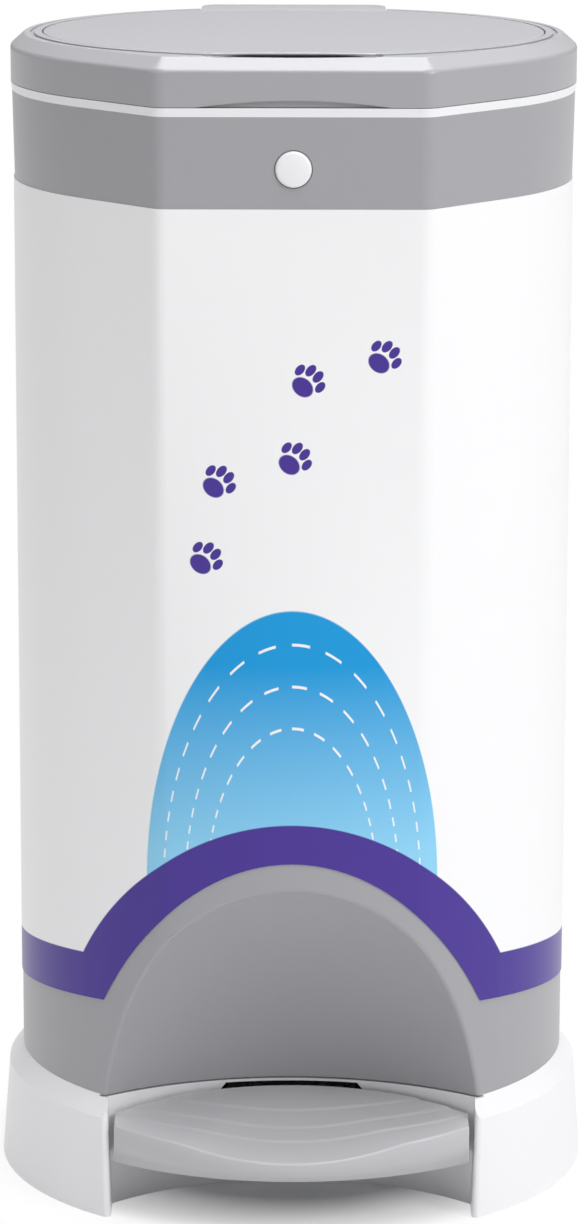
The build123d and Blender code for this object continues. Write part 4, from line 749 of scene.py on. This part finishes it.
@dataclass
class Flap(SubAssembly):
    """The round flap in the lid, with its tongue, lining, seal and crank."""

    finishes: dict[str, Finish] = field(default_factory=lambda: {
        "flap_liner": Finish.INNER_GREY, "flap_seal": Finish.SEAL,
        "flap_crank": Finish.BLACK_PLASTIC})
    rings: int = 26
    ring_crowding: float = 0.8
    steps: int = 240
    edge_thickness: float = 3.8 * MM
    edge_round: float = 0.8 * MM
    edge_steps: int = 4
    chord_start: float = 0.1
    lip_lift: float = 0.25 * MM
    lip_undercut: float = 3.1 * MM
    lip_depth: float = 10.0 * MM
    lip_ramp: float = 0.45
    lip_side_power: int = 6
    front_half_width: float = 39.0 * MM
    tongue_half_width: float = 46.0 * MM
    tongue_length: float = 36.6 * MM
    tongue_thickness: float = 3.6 * MM
    tongue_rise: float = 3.3 * MM
    tongue_corner: float = 9.0 * MM
    tongue_corner_steps: int = 8
    tongue_edge_round: float = 0.7 * MM
    tongue_edge_steps: int = 3
    barrel_setback: float = 6.6 * MM
    barrel_radius: float = 3.0 * MM
    barrel_bore: float = 1.25 * MM
    barrel_half_length: float = 35.5 * MM
    barrel_steps: int = 32
    web_half_depth: float = 2.7 * MM
    web_start: float = 1.5 * MM

    def _outline(self, way: float, radius: float, chord: float) -> float:
        """Distance of the disc's edge from its middle.

        Args:
            way: Direction in radians, from +X.
            radius: Radius of the disc.
            chord: Distance of its straight front edge from the middle.

        Returns:
            The distance in metres.
        """
        forward = -math.sin(way)
        return min(radius, chord / forward) if forward > self.chord_start else radius

    def _profile(self, radius: float, bottom: float, edge: float) -> list[Pair]:
        """Half section of the disc before its crown is raised.

        Args:
            radius: Radius of the disc.
            bottom: Height of its underside.
            edge: Height of its upper edge.

        Returns:
            Pairs of radius and height, from the middle of the top to that of the underside.
        """
        places = [(radius - self.edge_round) * (step / self.rings) ** self.ring_crowding
                  for step in range(self.rings + 1)]
        profile = [(place, edge) for place in places]
        profile += [(radius - self.edge_round * (1 - along), edge - self.edge_round * fall)
                    for along, fall in quarter_round(self.edge_steps)]
        bevel = self.edge_round / 3
        profile += [(radius, bottom + bevel), (radius - bevel, bottom)]
        profile += [(place, bottom) for place in reversed(places[:-1])]
        return profile

    def _shape_disc(self, shape: bmesh.types.BMesh, radius: float, chord: float,
                    bottom: float, crown: float) -> None:
        """Cuts the turned disc's front straight, raises its crown and undercuts its lip.

        Args:
            shape: The turned disc.
            radius: Its radius.
            chord: Distance of the straight front edge from the middle.
            bottom: Height of the underside.
            crown: Rise of the middle over the edge.
        """
        for vert in shape.verts:
            flat = math.hypot(vert.co.x, vert.co.y)
            if flat < ON_AXIS:
                vert.co.z += crown if vert.co.z > bottom + self.edge_round else 0.0
                continue
            share = self._outline(math.atan2(vert.co.y, vert.co.x), radius, chord) / radius
            vert.co.x *= share
            vert.co.y *= share
            near = max(0.0, 1 - (vert.co.y + chord) / self.lip_depth) / self.lip_ramp
            beside = abs(vert.co.x) / self.front_half_width
            lip = min(1.0, near) * max(0.0, 1 - beside ** self.lip_side_power)
            if vert.co.z > bottom + self.edge_round:
                out = min(1.0, flat * share / radius)
                vert.co.z += crown * (1 - out * out) + self.lip_lift * lip
            else:
                vert.co.z += self.lip_undercut * lip

    def _tongue(self, shape: bmesh.types.BMesh, pivot: Pair, back: float) -> None:
        """Adds the rear tongue, its web and the hinge barrel.

        Args:
            shape: The flap's mesh.
            pivot: Y and Z of the hinge's axis.
            back: Y of the tongue's rear edge.
        """
        axis_y, axis_z = pivot
        floor = axis_z + self.tongue_rise
        top = floor + self.tongue_thickness
        front = back - self.tongue_length
        verts = bar(shape, (-self.tongue_half_width, front, floor),
                    (self.tongue_half_width, back, top))
        corners = {edge for vert in verts for edge in vert.link_edges
                   if all(abs(end.co.y - back) < TOUCH for end in edge.verts)
                   and abs(edge.verts[0].co.z - edge.verts[1].co.z) > TOUCH}
        soften(shape, corners, self.tongue_corner, self.tongue_corner_steps)
        rim = [edge for edge in shape.edges
               if len(edge.link_faces) == 2 and edge.calc_face_angle(0.0) > CREASE
               and all(abs(end.co.z - top) < TOUCH for end in edge.verts)
               and edge.verts[0].co.y > front]
        soften(shape, rim, self.tongue_edge_round, self.tongue_edge_steps)
        half = self.barrel_half_length
        bar(shape, (-half, axis_y - self.web_half_depth, axis_z + self.web_start),
            (half, axis_y + self.web_half_depth, floor))
        section = [(self.barrel_bore, -half), (self.barrel_radius, -half),
                   (self.barrel_radius, half), (self.barrel_bore, half),
                   (self.barrel_bore, -half)]
        lathe(shape, section, self.barrel_steps, (0.0, axis_y, axis_z), ACROSS)

    def build(self) -> None:
        """Builds the crowned disc with its straight front edge, the tongue and the barrel."""
        low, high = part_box("flap")
        radius, chord = high[0], -low[1]
        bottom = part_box("flap_seal")[1][2]
        edge = bottom + self.edge_thickness
        shape = bmesh.new()
        lathe(shape, self._profile(radius, bottom, edge), self.steps)
        self._shape_disc(shape, radius, chord, bottom, high[2] - edge)
        self._tongue(shape, (high[1] - self.barrel_setback, low[2] + self.barrel_radius), high[1])
        panel = finished("flap_panel", shape, "flap", Finish.GREY_LID, self.paints)
        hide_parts("flap")


@dataclass
class InnerDoor(SubAssembly):
    """The door below the funnel."""

    finishes: dict[str, Finish] = field(default_factory=lambda: {
        "trap_door": Finish.INNER_GREY, "trap_seal": Finish.SEAL,
        "trap_crank": Finish.BLACK_PLASTIC})


@dataclass
class PedalLinkage(SubAssembly):
    """The pedal, its lever, and the rod that lifts both cranks."""

    finishes: dict[str, Finish] = field(default_factory=lambda: {
        "pedal_lever": Finish.STEEL, "push_rod": Finish.BLACK_PLASTIC,
        "trap_pusher": Finish.BLACK_PLASTIC})
    rear_radius: float = 145.3 * MM
    rear_centre: float = 215.5 * MM
    rear_height: float = 52.6 * MM
    slope: float = math.radians(8.5)
    dish_radius: float = 350.0 * MM
    dish_slope: float = math.radians(14.0)
    dish_rise: float = 10.4 * MM
    dish_blend: float = 1.2 * MM
    dish_blend_radius: float = 6.0 * MM
    step_radius: float = 175.0 * MM
    step_setbacks: tuple[float, ...] = (43.5 * MM, 29.5 * MM, 18.5 * MM)
    step_depth: float = 0.6 * MM
    step_ramp: float = 1.1 * MM
    edge_round: float = 1.1 * MM
    edge_rows: tuple[float, ...] = (0.0, 0.08, 0.3, 0.62, 1.0)
    wall: float = 2.4 * MM
    window_half_width: float = 34.0 * MM
    window_front: float = -100.0 * MM
    columns: int = 130
    rows: int = 110

    def _tread(self, x: float, y: float, front: float, bottom: float) -> float:
        """Height of the tread.

        Args:
            x: Place across the pedal.
            y: Place from front to back.
            front: Radius of the pedal's front.
            bottom: Height of the pedal's lower edge.

        Returns:
            Height of the plane or of the dish, whichever is lower, less the curved steps.
        """
        rear = self.rear_radius - self.rear_centre
        plane = self.rear_height + math.tan(self.slope) * (y - rear)
        axis = bottom + self.dish_rise + self.dish_radius / math.cos(self.dish_slope)
        dish = axis + ((y + front) * math.sin(self.dish_slope)
                       - math.sqrt(self.dish_radius ** 2 - x * x)) / math.cos(self.dish_slope)
        crease = max(0.0, self.dish_blend - abs(plane - dish))
        height = min(plane, dish) - crease ** 2 / self.dish_blend_radius
        for setback in self.step_setbacks:
            beyond = math.hypot(x, y - self.step_radius + front - setback) - self.step_radius
            ramp = min(1.0, max(0.0, beyond / self.step_ramp + 0.5))
            height -= self.step_depth * ramp * ramp * (3 - 2 * ramp)
        return height

    def _spaced(self, share: float, length: float, count: int) -> float:
        """Place along a span, with narrow rows at both ends for the rounded edge.

        Args:
            share: Even place from 0 to 1.
            length: Length of the span.
            count: Number of rows.

        Returns:
            The place in metres from the span's start.
        """
        row = round(share * count)
        last = len(self.edge_rows) - 1
        if row <= last:
            return self.edge_round * self.edge_rows[row]
        if row >= count - last:
            return length - self.edge_round * self.edge_rows[count - row]
        inner = length - 2 * self.edge_round
        return self.edge_round + inner * (row - last) / (count - 2 * last)

    def _fall(self, gap: float) -> float:
        """Drop of the rounded edge at a distance from the outline."""
        inside = min(self.edge_round, max(0.0, self.edge_round - gap))
        return self.edge_round - math.sqrt(self.edge_round ** 2 - inside ** 2)

    def _top(self, half: float, front: float, bottom: float) -> bmesh.types.BMesh:
        """The tread as one open sheet.

        Args:
            half: Half the pedal's width.
            front: Radius of its front.
            bottom: Height of its lower edge.

        Returns:
            The sheet, facing up.
        """
        shape = bmesh.new()
        middle = 0.5
        bmesh.ops.create_grid(shape, x_segments=self.columns, y_segments=self.rows, size=middle)
        for vert in shape.verts:
            x = self._spaced(vert.co.x + middle, 2 * half, self.columns) - half
            rear_y = math.sqrt(self.rear_radius ** 2 - x * x) - self.rear_centre
            front_y = -math.sqrt(front ** 2 - x * x)
            along = self._spaced(vert.co.y + middle, rear_y - front_y, self.rows)
            y = front_y + along
            gap = min(half - abs(x), along, rear_y - y)
            vert.co = (x, y, self._tread(x, y, front, bottom) - self._fall(gap))
        return shape

    def build(self) -> None:
        """Builds the pedal's hollow cap with its dished, stepped tread."""
        low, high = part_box("pedal")
        bottom = low[2]
        shape = self._top(high[0], -low[1], bottom)
        rim = [edge for edge in shape.edges if edge.is_boundary]
        skirt = bmesh.ops.extrude_edge_only(shape, edges=rim)["geom"]
        for vert in (item for item in skirt if isinstance(item, bmesh.types.BMVert)):
            vert.co.z = bottom
        window = [face for face in shape.faces
                  if min(vert.co.z for vert in face.verts) < bottom + TOUCH
                  and face.calc_center_median().y > self.window_front
                  and abs(face.calc_center_median().x) < self.window_half_width]
        bmesh.ops.delete(shape, geom=window, context="FACES")
        if max(shape.faces, key=lambda face: face.calc_center_median().z).normal.z < 0:
            bmesh.ops.reverse_faces(shape, faces=shape.faces)
        # The cap's lighter grey is painted light, standing in for the light on its tread.
        cap = finished("pedal_cap", shape, "pedal", Finish.GREY_PEDAL_PAINTED_LIGHTER, self.paints, closed=False)
        wall = cap.modifiers.new("wall", "SOLIDIFY")
        wall.thickness = self.wall
        wall.offset = -1.0
        wall.use_even_offset = True
        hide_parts("pedal")


@dataclass
class Latch(SubAssembly):
    """The front button with its slide and spring."""

    finishes: dict[str, Finish] = field(default_factory=lambda: {
        "latch_slide": Finish.BLACK_PLASTIC, "button_spring": Finish.SPRING_WIRE})
    radius: float = 8.3 * MM
    edge_round: float = 1.6 * MM
    edge_steps: int = 5
    dome: float = 0.5 * MM
    dome_rings: int = 8
    flange: float = 2.0 * MM
    steps: int = 96

    def build(self) -> None:
        """Builds the softly domed button with the flange that holds it in the body."""
        low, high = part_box("lid_button")
        face, back, middle = low[1], high[1], (low[2] + high[2]) / 2
        inner = self.radius - self.edge_round
        shares = [ring / self.dome_rings for ring in range(self.dome_rings + 1)]
        profile = [(inner * share, face + self.dome * share ** 2) for share in shares]
        profile += [(inner + self.edge_round * along, face + self.dome + self.edge_round * fall)
                    for along, fall in quarter_round(self.edge_steps)]
        profile += [(self.radius, back - self.flange), (high[0], back - self.flange),
                    (high[0], back), (0.0, back)]
        shape = bmesh.new()
        lathe(shape, profile, self.steps, (0.0, 0.0, middle), BACKWARD)
        cap = finished("button_cap", shape, "button", Finish.WHITE_SHELL, self.paints)
        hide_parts("lid_button")


# ---------------------------------------------------------------- studio
@dataclass(frozen=True)
class Softbox:
    """A square lamp."""

    name: str
    place: Place
    aim: Place
    side: float
    watts: float

    def build(self) -> None:
        """Stands the lamp in its place and turns it to its aim."""
        data = bpy.data.lights.new(self.name, "AREA")
        data.shape = "SQUARE"
        data.size = self.side
        data.energy = self.watts
        direction = Vector(self.aim) - Vector(self.place)
        turn = direction.to_track_quat("-Z", "Y").to_matrix().to_4x4()
        stand(self.name, data).matrix_world = Matrix.Translation(self.place) @ turn


@dataclass
class Studio:
    """Camera, lamps, floor and world."""

    camera_place: Place = (-0.0005, -2.2508, 0.7633)
    camera_tilt: float = math.radians(12.34)
    camera_roll: float = math.radians(0.12)
    lens: float = 138.9
    sensor_width: float = 36.0
    sight: float = 30.0
    lamps: tuple[Softbox, ...] = (
        Softbox("key_right", (2.2, -1.5, 1.85), (0, 0, 0.25), 0.9, 25.5),
        Softbox("top_box", (0.1, 0.1, 2.2), (0, 0, 0.3), 1.4, 37),
        Softbox("front_high", (0.25, -1.1, 2.3), (0, -0.12, 0.1), 0.8, 13))
    fill: float = 0.39
    floor_colour: Colour = (0.93, 0.93, 0.935)
    floor_roughness: float = 0.75
    floor_half: float = 6.0
    floor_near: float = 0.085
    floor_far: float = 0.165

    def camera(self) -> None:
        """Sets the camera where the photograph was taken from."""
        data = bpy.data.cameras.new("camera")
        data.sensor_width = self.sensor_width
        data.lens = self.lens
        data.clip_end = self.sight
        thing = stand("camera", data)
        turn = (Matrix.Rotation(math.radians(90) - self.camera_tilt, 4, "X")
                @ Matrix.Rotation(self.camera_roll, 4, "Z"))
        thing.matrix_world = Matrix.Translation(self.camera_place) @ turn
        bpy.context.scene.camera = thing

    def floor(self) -> None:
        """Lays a plain pale floor that keeps the shadow near the pail and is white beyond."""
        shape = bmesh.new()
        bmesh.ops.create_grid(shape, x_segments=1, y_segments=1, size=self.floor_half)
        thing = stand("floor", mesh_of("floor", shape))
        nodes = Nodes("pale_floor")
        nodes.shader.inputs["Base Color"].default_value = (*self.floor_colour, 1.0)
        nodes.set(Roughness=self.floor_roughness)
        glow = nodes.tree.nodes.new("ShaderNodeEmission")
        glow.inputs["Color"].default_value = WHITE
        reach = nodes.tree.nodes.new("ShaderNodeVectorMath")
        reach.operation = "LENGTH"
        nodes.join(nodes.place, "Object", reach, 0)
        far = nodes.spread(reach, "Value", 0.0, 1.0, self.floor_near, self.floor_far)
        seen = nodes.tree.nodes.new("ShaderNodeLightPath")
        eye = nodes.maths("MAXIMUM", (seen, "Is Camera Ray"), (seen, "Is Glossy Ray"))
        both = nodes.tree.nodes.new("ShaderNodeMixShader")
        nodes.join(nodes.maths("MULTIPLY", far, eye), 0, both, 0)
        nodes.join(nodes.shader, "BSDF", both, 1)
        nodes.join(glow, "Emission", both, 2)
        nodes.join(both, "Shader", nodes.output, "Surface")
        thing.data.materials.append(nodes.material)

    def world(self) -> None:
        """Fills the studio with soft white light, and shows it as plain white."""
        world = bpy.data.worlds.new("studio")
        bpy.context.scene.world = world
        world.use_nodes = True
        tree = world.node_tree
        back = tree.nodes["Background"]
        back.inputs["Color"].default_value = WHITE
        seen = tree.nodes.new("ShaderNodeLightPath")
        pick = tree.nodes.new("ShaderNodeMapRange")
        pick.inputs["To Min"].default_value = self.fill
        pick.inputs["To Max"].default_value = 1.0
        both = tree.nodes.new("ShaderNodeMath")
        both.operation = "MAXIMUM"
        tree.links.new(seen.outputs["Is Camera Ray"], both.inputs[0])
        tree.links.new(seen.outputs["Is Transmission Ray"], both.inputs[1])
        tree.links.new(both.outputs[0], pick.inputs["Value"])
        tree.links.new(pick.outputs[0], back.inputs["Strength"])

    def build(self) -> None:
        """Sets up the whole studio."""
        bpy.context.scene.view_settings.view_transform = "Standard"
        self.camera()
        self.world()
        self.floor()
        for lamp in self.lamps:
            lamp.build()


def main() -> None:
    """Builds the pail's looks, sub-assembly by sub-assembly, and its studio."""
    logging.basicConfig(level=logging.INFO, format="%(message)s")
    paints = Paintbox()
    for kind in (FootAndShell, LinerFrame, Lid, Flap, InnerDoor, PedalLinkage, Latch):
        part = kind(paints)
        part.dress()
        part.build()
    Studio().build()


if __name__ == "__main__":
    main()
